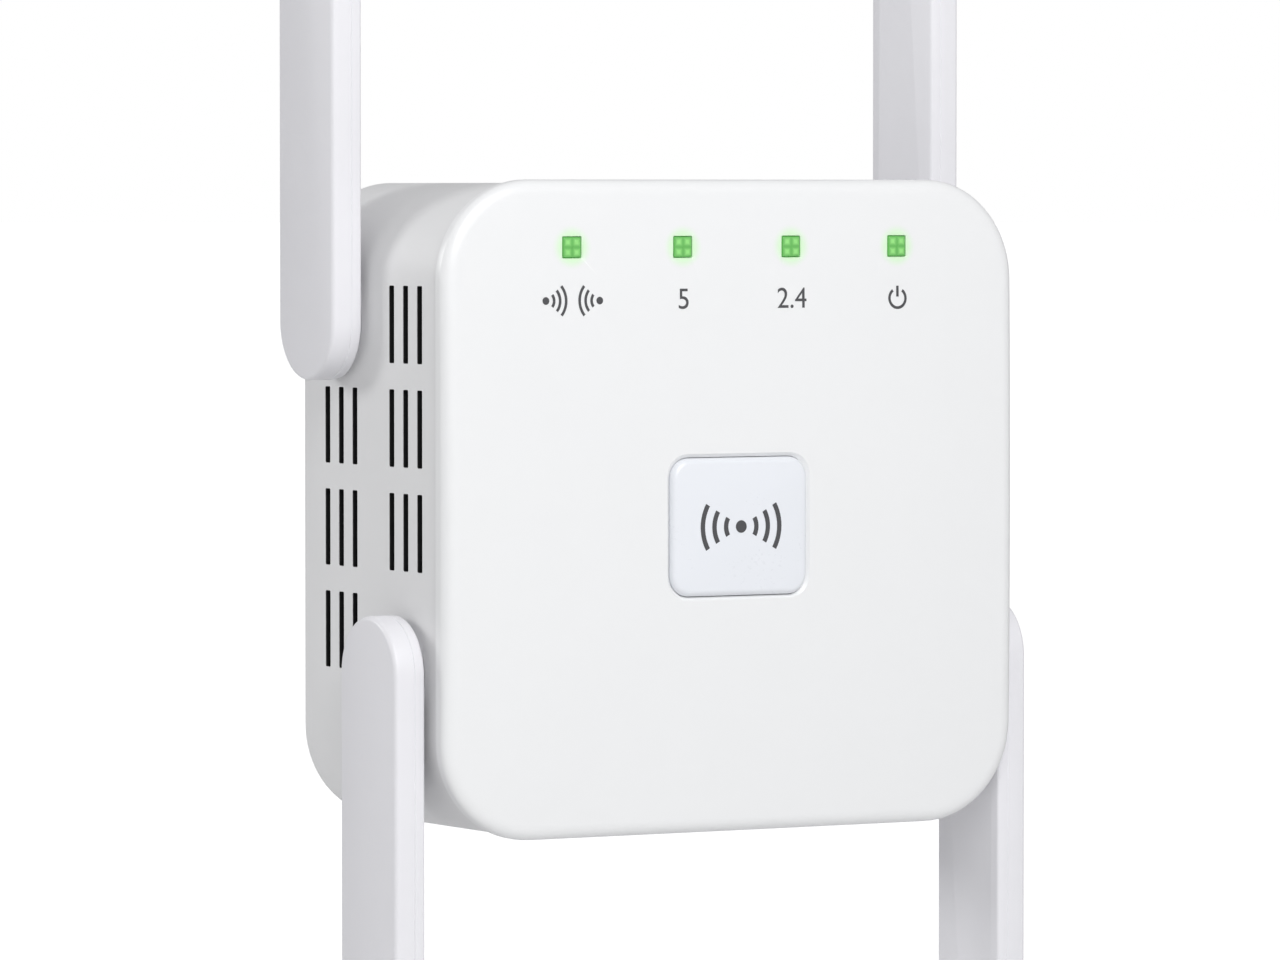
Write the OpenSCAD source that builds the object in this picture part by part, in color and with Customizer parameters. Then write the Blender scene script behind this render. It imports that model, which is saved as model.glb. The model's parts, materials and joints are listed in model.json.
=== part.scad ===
// Plug-in wifi range extender: a square housing that hangs on a wall socket by its own two-pin plug,
// with four flat antennas hinged on its sides, a push button and four status lights on the front.
//
// Frame: +Z up, the front faces -Y, the plug pins point along +Y. The origin is the centre of the
// plug's contact face, half way between the two pins.
// Most pieces are drawn lying on their back, with x to the right, y up the housing and z the depth
// measured from the housing's rear face, and stand() then puts them upright.

/* [Body] */
// Width of the front cover
body_w = 79; // [76:1:96]
// Height of the front cover
body_h = 78; // [76:1:96]
// Depth from the rear face to the highest point of the front
body_d = 38; // [37:0.5:48]
// Corner radius of the front cover
corner_r = 12; // [10:0.5:14]
// Wall thickness of the rear housing
wall = 2; // [1.6:0.1:2.5]
// Thickness of the front cover at its corners
cover_t = 1.8; // [1.4:0.1:2.4]
// How far the housing walls stand back from the cover's edge
seam_step = 0.4; // [0.2:0.1:0.8]
// Height of the domed front above its corners
dome_rise = 1.2; // [0.6:0.1:2]
// Depth of the cover's plain side band
skirt = 0.8; // [0.5:0.1:1.5]

/* [Antennas] */
// Length from the hinge axis to the tip
antenna_len = 115; // [80:1:150]
// Width of the flat blade
antenna_w = 14; // [12:0.5:17]
// Thickness of the blade
antenna_t = 4; // [3.6:0.1:5]
// Gap between the blade and the housing wall
antenna_gap = 0.8; // [0.6:0.1:1.5]
// Corner radius at the blade's tip
tip_r = 3; // [1:0.5:6]
// Height of the upper hinges above the middle of the body
upper_hinge_y = 22; // [18:0.5:24]
// Height of the lower hinges below the middle of the body
lower_hinge_y = 19.5; // [16:0.5:22]
// Depth of the upper hinges, in front of the rear face
upper_hinge_d = 10.2; // [9:0.2:11]
// Depth of the lower hinges, in front of the rear face
lower_hinge_d = 26; // [25:0.2:27]
// Radius of the hollow hinge shaft
hinge_r = 3.5; // [3:0.1:4.2]
// Radius of the cable hole in the shaft
cable_hole_r = 1.5; // [1.2:0.1:2]
// Radius of an antenna cable
cable_r = 0.55; // [0.4:0.05:0.7]

/* [Side vents] */
// Length of one slit
slit_len = 9.2; // [6:0.2:10]
// Width of one slit
slit_w = 1.3; // [0.8:0.1:1.8]
// Distance between the slits of a group
slit_pitch = 3.5; // [2.6:0.1:3.6]
// Distance between the rows of groups
row_pitch = 12.3; // [11:0.1:12.5]
// Height of the middle of the rows above the middle of the body
vent_mid = 3.4; // [0:0.2:4]

/* [Front] */
// Width of the push button
button_w = 18.8; // [12:0.2:24]
// Height of the push button
button_h = 16.5; // [12:0.5:20]
// Corner radius of the push button
button_r = 2.5; // [1:0.5:4]
// Height of the button's centre, measured from the middle of the body
button_y = -2.4; // [-4:0.2:0]
// How far the button stands proud of the front
button_proud = 0.5; // [0.2:0.1:1]
// Travel of the button
button_travel = 0.4; // [0.3:0.05:0.6]
// Side of a square status light
light_side = 2.4; // [1.6:0.2:3]
// Distance between the status lights
light_pitch = 15; // [12:0.5:15.5]
// Distance from the top edge to the status lights
light_drop = 8; // [7:0.5:9]

/* [Mains plug] */
// Radius of a plug pin
pin_r = 2.4; // [2:0.1:2.5]
// Length of the pins in front of the contact face
pin_len = 19; // [18:0.5:20]
// Distance between the pins
pin_pitch = 19; // [18:0.5:20]
// Radius of the round plug body
plug_r = 18.25; // [17:0.25:19]
// Width across the two flats of the plug body
plug_flats = 31; // [29:0.5:33]
// Length of the plug body behind the housing
plug_len = 17; // [12:0.5:18]
// Radius of the hole that clears a socket's earth pin
earth_hole_r = 3; // [2.6:0.1:3.2]
// Depth of the hole that clears a socket's earth pin
earth_hole_len = 15; // [10:0.5:15.5]
// Height of that hole above the pins
earth_hole_y = 10; // [9.5:0.5:10.5]

/* [Network socket] */
// Width of the socket's metal shell
jack_w = 16.2; // [15.5:0.1:17]
// Height of the shell above its board
jack_h = 13.4; // [13:0.1:14]
// Length of the shell
jack_len = 21; // [18:0.5:22]

/* [Boards] */
// Thickness of the circuit boards
board_t = 1.2; // [1:0.1:1.6]
// Depth of the main board's back, in front of the rear face
main_board_d = 23; // [22.6:0.2:23.4]
// Depth of the power board's back, in front of the rear face
power_board_d = 6; // [5:0.5:7]
// Width of the power board
power_board_w = 40; // [38:1:42]

/* [Fits] */
// Radial gap of a shaft that turns in its hole
running_gap = 0.05; // [0.02:0.01:0.1]
// Gap round a piece that slides
slide_gap = 0.25; // [0.15:0.05:0.4]
// Gap between pieces that are assembled and stay put
part_gap = 0.1; // [0.05:0.05:0.2]

/* [Hidden] */
$fn = 64;
SIDES = [["left", -1], ["right", 1]];
HEIGHTS = [["upper", 1], ["lower", -1]];
ANTENNA_PIECES = ["outer_shell", "inner_shell", "radiator", "retaining_clip", "cable"];

// Colours
SHELL_WHITE = [0.95, 0.95, 0.95];
HOUSING_GREY = [0.84, 0.84, 0.85];
ANTENNA_GREY = [0.86, 0.86, 0.89];
BOARD_GREEN = [0.1, 0.35, 0.2];
CHIP_BLACK = [0.12, 0.12, 0.13];
METAL = [0.75, 0.75, 0.77];
COPPER = [0.8, 0.5, 0.3];

// Body shell
housing_w = body_w - 2 * seam_step;
housing_h = body_h - 2 * seam_step;
housing_r = corner_r - seam_step;
inner_w = housing_w - 2 * wall;
inner_h = housing_h - 2 * wall;
inner_r = housing_r - wall;
cover_in = body_d - dome_rise - cover_t;
edge_depth = 1.2;
seam_z = cover_in + cover_t - skirt - edge_depth;
corner_reach = norm([body_w / 2, body_h / 2]) - corner_r * (sqrt(2) - 1);
dome_r = (corner_reach * corner_reach + dome_rise * dome_rise) / (2 * dome_rise);
dome_edge = corner_reach + corner_r / 2;
dome_steps = 12;
lip_t = 1.2;
lip_len = 2.5;

// How far a cut runs past the face it opens, or a joined piece into its neighbour
through = 1;

// Screws that join the housing to the cover
screw_head_r = 2.5;
screw_head_h = 2;
screw_r = 1.25;
screw_len = 12;
screw_head_gap = 0.3;
well_r = screw_head_r + 1.5;
post_r = 3.2;
well_floor_z = 20;
well_top_z = well_floor_z + 2;
screw_reach = (inner_r - lip_t - 2 * part_gap - well_r) / sqrt(2);
screw_x = body_w / 2 - corner_r + screw_reach;
screw_y = body_h / 2 - corner_r + screw_reach;

// Rating label recess on the back
label_w = 44;
label_h = 12;
label_r = 1.5;
label_depth = 0.4;
label_t = 0.25;
label_y = -(plug_flats / 2 + housing_h / 2) / 2;

// Plug base
plug_wall = 2;
plug_end_t = 3;
plug_flange_r = plug_r + 4;
plug_flange_t = 2;
pin_boss_t = 1.6;
earth_boss_t = 1.3;
stake_r = 1;
stake_reach = plug_r + 2.2;
pin_shank_r = pin_r - 0.4;
pin_shank_gap = 0.02;
pin_relief_r = pin_r + 0.1;
pin_relief_t = 0.5;
pin_collar_r = pin_r + 0.9;
pin_collar_t = 1;
pin_tail_r = 1.5;
collar_z = wall + plug_flange_t;

// Hinges
blade_x = housing_w / 2 + antenna_gap;
seat_t = antenna_gap - part_gap;
seat_r = antenna_w / 2 - 0.6;
inner_shell_t = 1.4;
shell_skin = 1.1;
cavity_t = antenna_t - inner_shell_t - shell_skin;
washer_t = 0.5;
washer_r = hinge_r + 1.2;
clip_t = 0.8;
clip_r = hinge_r + 1;
groove_depth = 0.5;
wall_in_x = inner_w / 2;
clip_x = wall_in_x - washer_t - running_gap - clip_t;
shaft_end_x = clip_x - 0.75;
radiator_t = 0.6;
radiator_w = 8;
radiator_len = min(62, antenna_len - 20);

// Front
light_y = body_h / 2 - light_drop;
main_front_z = main_board_d + board_t;
flange_w = button_w + 1.6;
flange_h = button_h + 1.6;
flange_t = 1;
stem_r = 2;
switch_side = 6;
switch_h = 3.5;
plunger_r = 1.7;
plunger_h = 0.9;
plunger_depth = 1.5;
plunger_top_z = main_front_z + switch_h + plunger_h;

// Main board, with room beside it for the hinges
hinge_room = 9.1;
board_w = inner_w - 2 * hinge_room;
board_top = light_y + 2.6;
board_bottom = -(inner_h / 2 - 1.7);
board_narrow_w = 2 * (screw_x - post_r - 0.4);
board_step_y = screw_y - post_r - 0.4;
board_screw_x = board_w / 2 - 3.5;
board_screw_y = [board_step_y - 2.2, board_bottom + 2.5];
board_screw_r = 1;
board_post_r = 2.4;
board_head_r = 1.9;
board_head_h = 1.4;
board_screw_len = 6;
power_screw_len = 3.6;

// Pieces on the main board
chip_y = 14;
chip_side = 13;
chip_h = 1;
pad_t = 0.8;
sink_w = 26;
sink_len = 19;
sink_base_t = 1.2;
sink_fins = 7;
sink_fin_t = 1;
sink_fin_h = 4;
memory_size = [8, 11, 1];
radio_chip_side = 7;
radio_chip_h = 0.9;
shield_w = 18;
shield_len = 15;
shield_h = 2.6;
shield_sheet = 0.25;
shield_x = 12;
shield_y = -18;
led_size = [1.6, 1, 0.7];

// Reset switch, worked through a pinhole in the bottom
reset_x = 15;
reset_w = 4.6;
reset_len = 3.5;
reset_h = 3.4;
reset_z = main_board_d - reset_h / 2;
reset_plunger_r = 0.9;
reset_travel = 0.3;
reset_mouth_y = board_bottom + 1.4;
pinhole_r = 0.8;

// Network socket
jack_sheet = 0.3;
jack_top_y = -housing_h / 2 + jack_len;
jack_mid_z = main_board_d - jack_h / 2;
port_w = 11.8;
port_h = 7;
port_len = 14;
port_mid_z = jack_mid_z + 0.3;
latch_w = 6.2;
latch_h = 1.8;
latch_len = 10;
contact_count = 8;
contact_pitch = 1.02;
contact_t = 0.35;

// Power board and its link to the main board
power_front_z = power_board_d + board_t;
power_bottom = -6;
power_top = 33;
power_post_x = power_board_w / 2 - 3;
power_post_y = power_top - 3;
core_at = [4, 22];
core_w = 16;
core_t = 5;
core_h = 12;
core_window = 3.5;
core_bar = 2.5;
winding_w = 11;
winding_len = 13;
input_can_r = 4;
input_can_h = 12;
input_cans = [[-11, 14], [-11, 23]];
output_can_r = 3.2;
output_can_h = 11;
output_cans = [[15.5, 5], [15.5, 12.5]];
fuse_r = 2.4;
fuse_h = 6;
fuse_at = [-14.4, 7.2];
bridge_size = [4.8, 4, 2.4];
bridge_at = [-4, 8];
inductor_r = 3.4;
inductor_h = 8;
inductor_at = [2, 8.5];
controller_size = [5, 4, 1.6];
controller_at = [9, 8];
link_at = [-17, 0];
link_count = 4;
link_pitch = 2;
link_pin_r = 0.3;
link_header_w = 2.5;
link_header_h = 2.5;

// Antenna cables: points [x, y, depth] chosen by hand on the right-hand side, from inside the blade
// through the hollow shaft to the board socket. The last three points lie on a line, so that the cable
// meets the socket squarely.
socket_side = 2.6;
socket_h = 1.2;
upper_socket = [board_w / 2 - 4, 12];
lower_socket = [board_w / 2 - 2.5, -24];
upper_route = [
    [blade_x + 2, upper_hinge_y, upper_hinge_d],
    [wall_in_x, upper_hinge_y, upper_hinge_d],
    [shaft_end_x - 0.5, upper_hinge_y, upper_hinge_d],
    [shaft_end_x - 3, upper_hinge_y - 1, upper_hinge_d + 1.8],
    [board_w / 2 + 3, upper_hinge_y - 4, upper_hinge_d + 5.5],
    [board_w / 2 + 2, upper_hinge_y - 7.5, main_board_d - 3.2],
    [board_w / 2 + 0.6, upper_socket[1] + 0.8, main_board_d - 1.4],
    [board_w / 2 - 1.5, upper_socket[1], main_board_d - 0.65],
    [board_w / 2 - 2.1, upper_socket[1], main_board_d - 0.65],
    [upper_socket[0] + socket_side / 2, upper_socket[1], main_board_d - 0.65]];
lower_route = [
    [blade_x + 2, -lower_hinge_y, lower_hinge_d],
    [wall_in_x, -lower_hinge_y, lower_hinge_d],
    [shaft_end_x - 0.5, -lower_hinge_y, lower_hinge_d],
    [shaft_end_x - 3, -lower_hinge_y - 0.5, lower_hinge_d + 0.3],
    [board_w / 2 + 2, -lower_hinge_y - 2.3, lower_hinge_d + 0.3],
    [board_w / 2 + 1.1, -lower_hinge_y - 3.8, main_front_z + 1.2],
    [board_w / 2 - 0.4, lower_socket[1], main_front_z + 0.65],
    [board_w / 2 - 0.8, lower_socket[1], main_front_z + 0.65],
    [lower_socket[0] + socket_side / 2, lower_socket[1], main_front_z + 0.65]];

// ---------------------------------------------------------------- helpers

// Turns a piece drawn lying on its back, z forward from the rear face, upright behind the front.
module stand() {
    translate([0, -plug_len, 0])
        rotate([90, 0, 0])
            children();
}

// Rectangle centred on the origin, with round corners.
module round_rect(w, h, r) {
    square([w - 2 * r, h], center = true);
    square([w, h - 2 * r], center = true);
    for (x = [-1, 1])
        for (y = [-1, 1])
            translate([x * (w / 2 - r), y * (h / 2 - r)])
                circle(r);
}

// Round-cornered slab from depth z0 to depth z1.
module slab(w, h, r, z0, z1) {
    translate([0, 0, z0])
        linear_extrude(z1 - z0)
            round_rect(w, h, r);
}

// Plain block centred on [x, y], from depth z0 to depth z1.
module block(w, h, z0, z1, at = [0, 0]) {
    translate([at[0], at[1], (z0 + z1) / 2])
        cube([w, h, z1 - z0], center = true);
}

// Round bar along the depth, from z0 to z1.
module bar(r, z0, z1, at = [0, 0]) {
    translate([at[0], at[1], z0])
        cylinder(r = r, h = z1 - z0);
}

// Round bar across the body, from x0 to x1, at height y and depth z.
module cross_bar(r, x0, x1, y, z) {
    translate([x0, y, z])
        rotate([0, 90, 0])
            cylinder(r = r, h = x1 - x0);
}

// Repeats children at the four corner screws.
module at_screws() {
    for (x = [-1, 1])
        for (y = [-1, 1])
            translate([x * screw_x, y * screw_y, 0])
                children();
}

// Everything under the domed front, raised by lift. The dome is a shallow cap of a large sphere,
// turned from a profile of short straight steps.
module under_dome(lift = 0) {
    intersection() {
        children();
        translate([0, 0, body_d + lift])
            rotate_extrude($fn = 128)
                polygon(concat([[0, -2 * body_d]],
                               [for (i = [0:dome_steps]) dome_point(i)],
                               [[dome_edge, -2 * body_d]]));
    }
}

// Point i of the dome's profile: distance from the middle, and height above the middle.
function dome_point(i) =
    let (r = dome_edge * i / dome_steps)
    [r, sqrt(dome_r * dome_r - r * r) - dome_r];

// Right-hand child copied to both sides of the body.
module both_sides() {
    children();
    mirror([1, 0, 0])
        children();
}

// ---------------------------------------------------------------- casing

module front_cover() {
    color(SHELL_WHITE)
        stand()
            difference() {
                union() {
                    under_dome()
                        difference() {
                            slab(body_w, body_h, corner_r, seam_z, body_d);
                            slab(inner_w, inner_h, inner_r, seam_z - through, cover_in);
                        }
                    cover_lip();
                    at_screws()
                        bar(post_r, well_top_z + part_gap, cover_in + through);
                    button_guide();
                }
                at_screws()
                    bar(screw_r + running_gap, 0, well_floor_z + screw_len + 1);
                slab_at_button(button_w + 2 * slide_gap, button_h + 2 * slide_gap,
                               button_r + slide_gap, seam_z, body_d + through);
                for (i = [0:3])
                    block(light_side + 2 * part_gap, light_side + 2 * part_gap,
                          seam_z, body_d + through, light_at(i));
            }
}

// Rim that locates the cover inside the housing walls.
module cover_lip() {
    difference() {
        slab(inner_w - 2 * part_gap, inner_h - 2 * part_gap, inner_r - part_gap,
             seam_z - lip_len, cover_in + through / 2);
        slab(inner_w - 2 * lip_t, inner_h - 2 * lip_t, inner_r - lip_t,
             seam_z - lip_len - through, cover_in);
    }
}

// Collar behind the cover that keeps the button square.
module button_guide() {
    difference() {
        slab_at_button(flange_w + 2 * slide_gap + 2, flange_h + 2 * slide_gap + 2, button_r + 2,
                       cover_in - 3, cover_in + through / 2);
        slab_at_button(flange_w + 2 * slide_gap, flange_h + 2 * slide_gap, button_r + 1,
                       cover_in - 3 - through, cover_in);
    }
}

module slab_at_button(w, h, r, z0, z1) {
    translate([0, button_y, 0])
        slab(w, h, r, z0, z1);
}

// Place of status light i, counted from the left.
function light_at(i) = [(i - 1.5) * light_pitch, light_y];

module rear_housing() {
    color(HOUSING_GREY)
        stand()
            difference() {
                union() {
                    difference() {
                        slab(housing_w, housing_h, housing_r, 0, seam_z);
                        slab(inner_w, inner_h, inner_r, wall, seam_z + through);
                    }
                    at_screws()
                        bar(well_r, wall / 2, well_top_z);
                    housing_posts();
                    plug_stakes();
                }
                at_screws() {
                    bar(screw_head_r + screw_head_gap, -through, well_floor_z);
                    bar(screw_r + slide_gap, 0, well_top_z + through);
                }
                both_sides() {
                    side_vents();
                    hinge_holes();
                }
                plug_outline_bar(plug_r + part_gap, plug_flats + 2 * part_gap, -through, wall + through);
                socket_hole();
                reset_pinhole();
                translate([0, label_y, 0])
                    slab(label_w, label_h, label_r, -through, label_depth);
                for (s = board_screw_places())
                    bar(board_screw_r + running_gap, main_board_d - 7, main_board_d + through, s);
                for (s = power_screw_places())
                    bar(board_screw_r + running_gap, wall, power_board_d + through, s);
            }
}

// Slits in the right-hand wall: the rear column skips the top row, the front column the bottom row.
module side_vents() {
    for (row = [0:3])
        for (i = [-1:1]) {
            if (row > 0)
                side_slit(row_y(row), upper_hinge_d + i * slit_pitch);
            if (row < 3)
                side_slit(row_y(row), lower_hinge_d + 0.6 + i * slit_pitch);
        }
}

function row_y(row) = vent_mid + (1.5 - row) * row_pitch;

module side_slit(y, z) {
    translate([housing_w / 2 - wall - through, y - slit_len / 2, z - slit_w / 2])
        cube([wall + 2 * through, slit_len, slit_w]);
}

module hinge_holes() {
    for (h = [1, -1])
        cross_bar(hinge_r + running_gap, wall_in_x - through, housing_w / 2 + through,
                  hinge_y(h), hinge_d(h));
}

function hinge_y(h) = h > 0 ? upper_hinge_y : -lower_hinge_y;
function hinge_d(h) = h > 0 ? upper_hinge_d : lower_hinge_d;

// Posts that carry the two boards.
module housing_posts() {
    for (s = board_screw_places())
        bar(board_post_r, wall / 2, main_board_d, s);
    for (s = power_screw_places())
        bar(board_post_r, wall / 2, power_board_d, s);
}

function board_screw_places() = [for (x = [-1, 1]) for (y = board_screw_y) [x * board_screw_x, y]];
function power_screw_places() = [for (x = [-1, 1]) [x * power_post_x, power_post_y]];

// Plastic stakes that hold the plug base against the rear wall.
module plug_stakes() {
    for (a = [45:90:315])
        bar(stake_r, wall / 2, collar_z + stake_r / 2, stake_at(a));
}

function stake_at(a) = stake_reach * [cos(a), sin(a)];

module socket_hole() {
    block(jack_w + 2 * part_gap, 3 * wall, jack_mid_z - jack_h / 2 - part_gap,
          jack_mid_z + jack_h / 2 + part_gap, [0, -housing_h / 2]);
}

module reset_pinhole() {
    translate([reset_x, -housing_h / 2 - through, reset_z])
        rotate([-90, 0, 0])
            cylinder(r = pinhole_r, h = wall + 2 * through);
}

module housing_screws() {
    color(METAL)
        stand()
            at_screws()
                difference() {
                    union() {
                        bar(screw_head_r, well_floor_z - screw_head_h, well_floor_z);
                        bar(screw_r, well_floor_z - screw_head_h / 2, well_floor_z + screw_len);
                    }
                    for (a = [0, 90])
                        rotate([0, 0, a])
                            block(3, 0.6, well_floor_z - screw_head_h - through,
                                  well_floor_z - screw_head_h + 1);
                }
}

module rating_label() {
    color("silver")
        stand()
            translate([0, label_y, 0])
                slab(label_w - 2 * part_gap, label_h - 2 * part_gap, label_r,
                     label_depth - label_t, label_depth);
}

// ---------------------------------------------------------------- mains plug

// Circle with two flats, the outline of the plug body.
module plug_outline(r, flats) {
    intersection() {
        circle(r);
        square([2 * r + 2, flats], center = true);
    }
}

module plug_outline_bar(r, flats, z0, z1) {
    translate([0, 0, z0])
        linear_extrude(z1 - z0)
            plug_outline(r, flats);
}

module plug_base() {
    color(HOUSING_GREY)
        stand()
            difference() {
                union() {
                    difference() {
                        union() {
                            plug_outline_bar(plug_r, plug_flats, -plug_len, wall + plug_flange_t / 2);
                            bar(plug_flange_r, wall, collar_z);
                        }
                        plug_outline_bar(plug_r - plug_wall, plug_flats - 2 * plug_wall,
                                         plug_end_t - plug_len, collar_z + through);
                    }
                    for (x = [-1, 1])
                        bar(pin_r + pin_boss_t, plug_end_t / 2 - plug_len, collar_z,
                            [x * pin_pitch / 2, 0]);
                    bar(earth_hole_r + earth_boss_t, plug_end_t / 2 - plug_len,
                        earth_hole_len - plug_len + earth_boss_t, [0, earth_hole_y]);
                }
                for (x = [-1, 1])
                    translate([x * pin_pitch / 2, 0, 0]) {
                        bar(pin_shank_r + pin_shank_gap, -plug_len - through, collar_z + through);
                        bar(pin_relief_r, -plug_len - through, pin_relief_t - plug_len);
                    }
                bar(earth_hole_r, -plug_len - through, earth_hole_len - plug_len, [0, earth_hole_y]);
                for (a = [45:90:315])
                    bar(stake_r + part_gap, wall - through, collar_z + through, stake_at(a));
            }
}

// Round pin with a round nose. A thinner shank runs through the plug base to a collar inside it, and a
// tail passes through the power board.
module plug_pin(x) {
    nose = pin_r * 0.6;
    color(METAL)
        stand()
            translate([x, 0, 0]) {
                translate([0, 0, -plug_len - pin_len])
                    rotate_extrude()
                        union() {
                            translate([pin_r - nose, nose])
                                intersection() {
                                    circle(nose);
                                    translate([0, -nose])
                                        square(nose);
                                }
                            square([pin_r - nose, nose]);
                            translate([0, nose])
                                square([pin_r, pin_len - nose]);
                        }
                bar(pin_shank_r, -plug_len - through, collar_z);
                bar(pin_collar_r, collar_z, collar_z + pin_collar_t);
                bar(pin_tail_r, collar_z, power_front_z + 0.8);
            }
}

module left_plug_pin() {
    plug_pin(-pin_pitch / 2);
}

module right_plug_pin() {
    plug_pin(pin_pitch / 2);
}

// ---------------------------------------------------------------- front controls

module pairing_button() {
    top = cover_in - running_gap;
    color(SHELL_WHITE)
        stand()
            union() {
                under_dome(button_proud)
                    slab_at_button(button_w, button_h, button_r, top - flange_t, body_d + button_proud);
                slab_at_button(flange_w, flange_h, button_r + 0.8, top - flange_t, top);
                bar(stem_r, plunger_top_z + running_gap, top - flange_t / 2, [0, button_y]);
            }
}

module light_guides() {
    guide_back = main_front_z + led_size[2] + 0.3;
    color([0.45, 0.75, 0.4])
        stand()
            union() {
                block(3 * light_pitch + 6, 4.4, cover_in - 1.6, cover_in, [0, light_y]);
                for (i = [0:3])
                    under_dome(0.05)
                        block(light_side, light_side, guide_back, body_d, light_at(i));
            }
}

module status_leds() {
    color([0.8, 0.95, 0.75])
        stand()
            for (i = [0:3])
                block(led_size[0], led_size[1], main_front_z, main_front_z + led_size[2], light_at(i));
}

// Small push switch that the button's stem works.
module pairing_switch_body() {
    color(CHIP_BLACK)
        stand()
            difference() {
                block(switch_side, switch_side, main_front_z, main_front_z + switch_h, [0, button_y]);
                bar(plunger_r + part_gap, main_front_z + switch_h - plunger_depth,
                    main_front_z + switch_h + through, [0, button_y]);
            }
}

module pairing_switch_plunger() {
    color([0.75, 0.7, 0.6])
        stand()
            bar(plunger_r, main_front_z + switch_h - plunger_depth + button_travel + 0.3,
                plunger_top_z, [0, button_y]);
}

module reset_switch_body() {
    color(CHIP_BLACK)
        stand()
            difference() {
                block(reset_w, reset_len, main_board_d - reset_h, main_board_d,
                      [reset_x, reset_mouth_y + reset_len / 2]);
                reset_rod(reset_plunger_r + part_gap, reset_mouth_y - through, reset_mouth_y + 2);
            }
}

module reset_switch_plunger() {
    color([0.75, 0.7, 0.6])
        stand()
            reset_rod(reset_plunger_r, reset_mouth_y - 1.2, reset_mouth_y + 2 - reset_travel - 0.3);
}

// Round rod up the body behind the pinhole, from y0 to y1.
module reset_rod(r, y0, y1) {
    translate([reset_x, y0, reset_z])
        rotate([-90, 0, 0])
            cylinder(r = r, h = y1 - y0);
}

// ---------------------------------------------------------------- main board

module main_board() {
    color(BOARD_GREEN)
        stand()
            translate([0, 0, main_board_d])
                linear_extrude(board_t)
                    difference() {
                        union() {
                            translate([-board_w / 2, -board_step_y])
                                square([board_w, 2 * board_step_y]);
                            translate([-board_narrow_w / 2, board_bottom])
                                square([board_narrow_w, board_top - board_bottom]);
                        }
                        for (s = board_screw_places())
                            translate(s)
                                circle(board_screw_r + 0.2);
                    }
}

module processor() {
    color(CHIP_BLACK)
        stand()
            block(chip_side, chip_side, main_front_z, main_front_z + chip_h, [0, chip_y]);
}

module thermal_pad() {
    color([0.55, 0.6, 0.7])
        stand()
            block(chip_side + 1, chip_side + 1, main_front_z + chip_h, main_front_z + chip_h + pad_t,
                  [0, chip_y]);
}

module heat_sink() {
    base_z = main_front_z + chip_h + pad_t;
    top_z = base_z + sink_base_t + sink_fin_h;
    fin_pitch = (sink_w - sink_fin_t) / (sink_fins - 1);
    color([0.7, 0.72, 0.75])
        stand()
            union() {
                block(sink_w, sink_len, base_z, base_z + sink_base_t, [0, chip_y]);
                for (i = [0:sink_fins - 1])
                    block(sink_fin_t, sink_len, base_z + sink_base_t / 2, top_z,
                          [(i - (sink_fins - 1) / 2) * fin_pitch, chip_y]);
            }
}

module memory_chip() {
    color(CHIP_BLACK)
        stand()
            block(memory_size[0], memory_size[1], main_front_z, main_front_z + memory_size[2],
                  [sink_w / 2 + 2 + memory_size[0] / 2, chip_y]);
}

module radio_chips() {
    color(CHIP_BLACK)
        stand()
            for (x = [-1, 1])
                block(radio_chip_side, radio_chip_side, main_front_z, main_front_z + radio_chip_h,
                      [x * shield_x, shield_y]);
}

module radio_shields() {
    color(METAL)
        stand()
            for (x = [-1, 1])
                difference() {
                    block(shield_w, shield_len, main_front_z, main_front_z + shield_h,
                          [x * shield_x, shield_y]);
                    block(shield_w - 2 * shield_sheet, shield_len - 2 * shield_sheet,
                          main_front_z - through, main_front_z + shield_h - shield_sheet,
                          [x * shield_x, shield_y]);
                }
}

module antenna_sockets() {
    color("gold")
        stand()
            both_sides() {
                block(socket_side, socket_side, main_board_d - socket_h, main_board_d, upper_socket);
                block(socket_side, socket_side, main_front_z, main_front_z + socket_h, lower_socket);
            }
}

module ethernet_transformer() {
    color(CHIP_BLACK)
        stand()
            block(16, 7, main_board_d - 3.6, main_board_d, [0, jack_top_y + 5]);
}

module board_screws() {
    color(METAL)
        stand() {
            for (s = board_screw_places())
                small_screw(main_front_z, board_screw_len, s);
            for (s = power_screw_places())
                small_screw(power_front_z, power_screw_len, s);
        }
}

module small_screw(z, len, at) {
    difference() {
        union() {
            bar(board_head_r, z, z + board_head_h, at);
            bar(board_screw_r, z - len, z + board_head_h / 2, at);
        }
        block(2.4, 0.5, z + board_head_h / 2, z + board_head_h + through, at);
        block(0.5, 2.4, z + board_head_h / 2, z + board_head_h + through, at);
    }
}

// ---------------------------------------------------------------- network socket

module ethernet_jack_shell() {
    color(METAL)
        stand()
            difference() {
                jack_block(jack_w, jack_h, -housing_h / 2, jack_top_y);
                jack_block(jack_w - 2 * jack_sheet, jack_h - 2 * jack_sheet,
                           -housing_h / 2 - through, jack_top_y - jack_sheet);
            }
}

module ethernet_jack_insert() {
    front_y = -housing_h / 2 + 0.2;
    color(CHIP_BLACK)
        stand()
            difference() {
                jack_block(jack_w - 2 * jack_sheet - 2 * part_gap, jack_h - 2 * jack_sheet - 2 * part_gap,
                           front_y, jack_top_y - jack_sheet);
                port_block(port_w, port_mid_z - port_h / 2, port_mid_z + port_h / 2,
                           front_y - through, front_y + port_len);
                port_block(latch_w, port_mid_z - port_h / 2 - latch_h, port_mid_z,
                           front_y - through, front_y + latch_len);
            }
}

module ethernet_contacts() {
    front_y = -housing_h / 2 + 0.2;
    top_z = port_mid_z + port_h / 2;
    color("gold")
        stand()
            for (i = [0:contact_count - 1])
                translate([(i - (contact_count - 1) / 2) * contact_pitch, 0, 0])
                    port_block(contact_t, top_z - 0.8, top_z - 0.3, front_y + 2, front_y + port_len);
}

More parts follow.
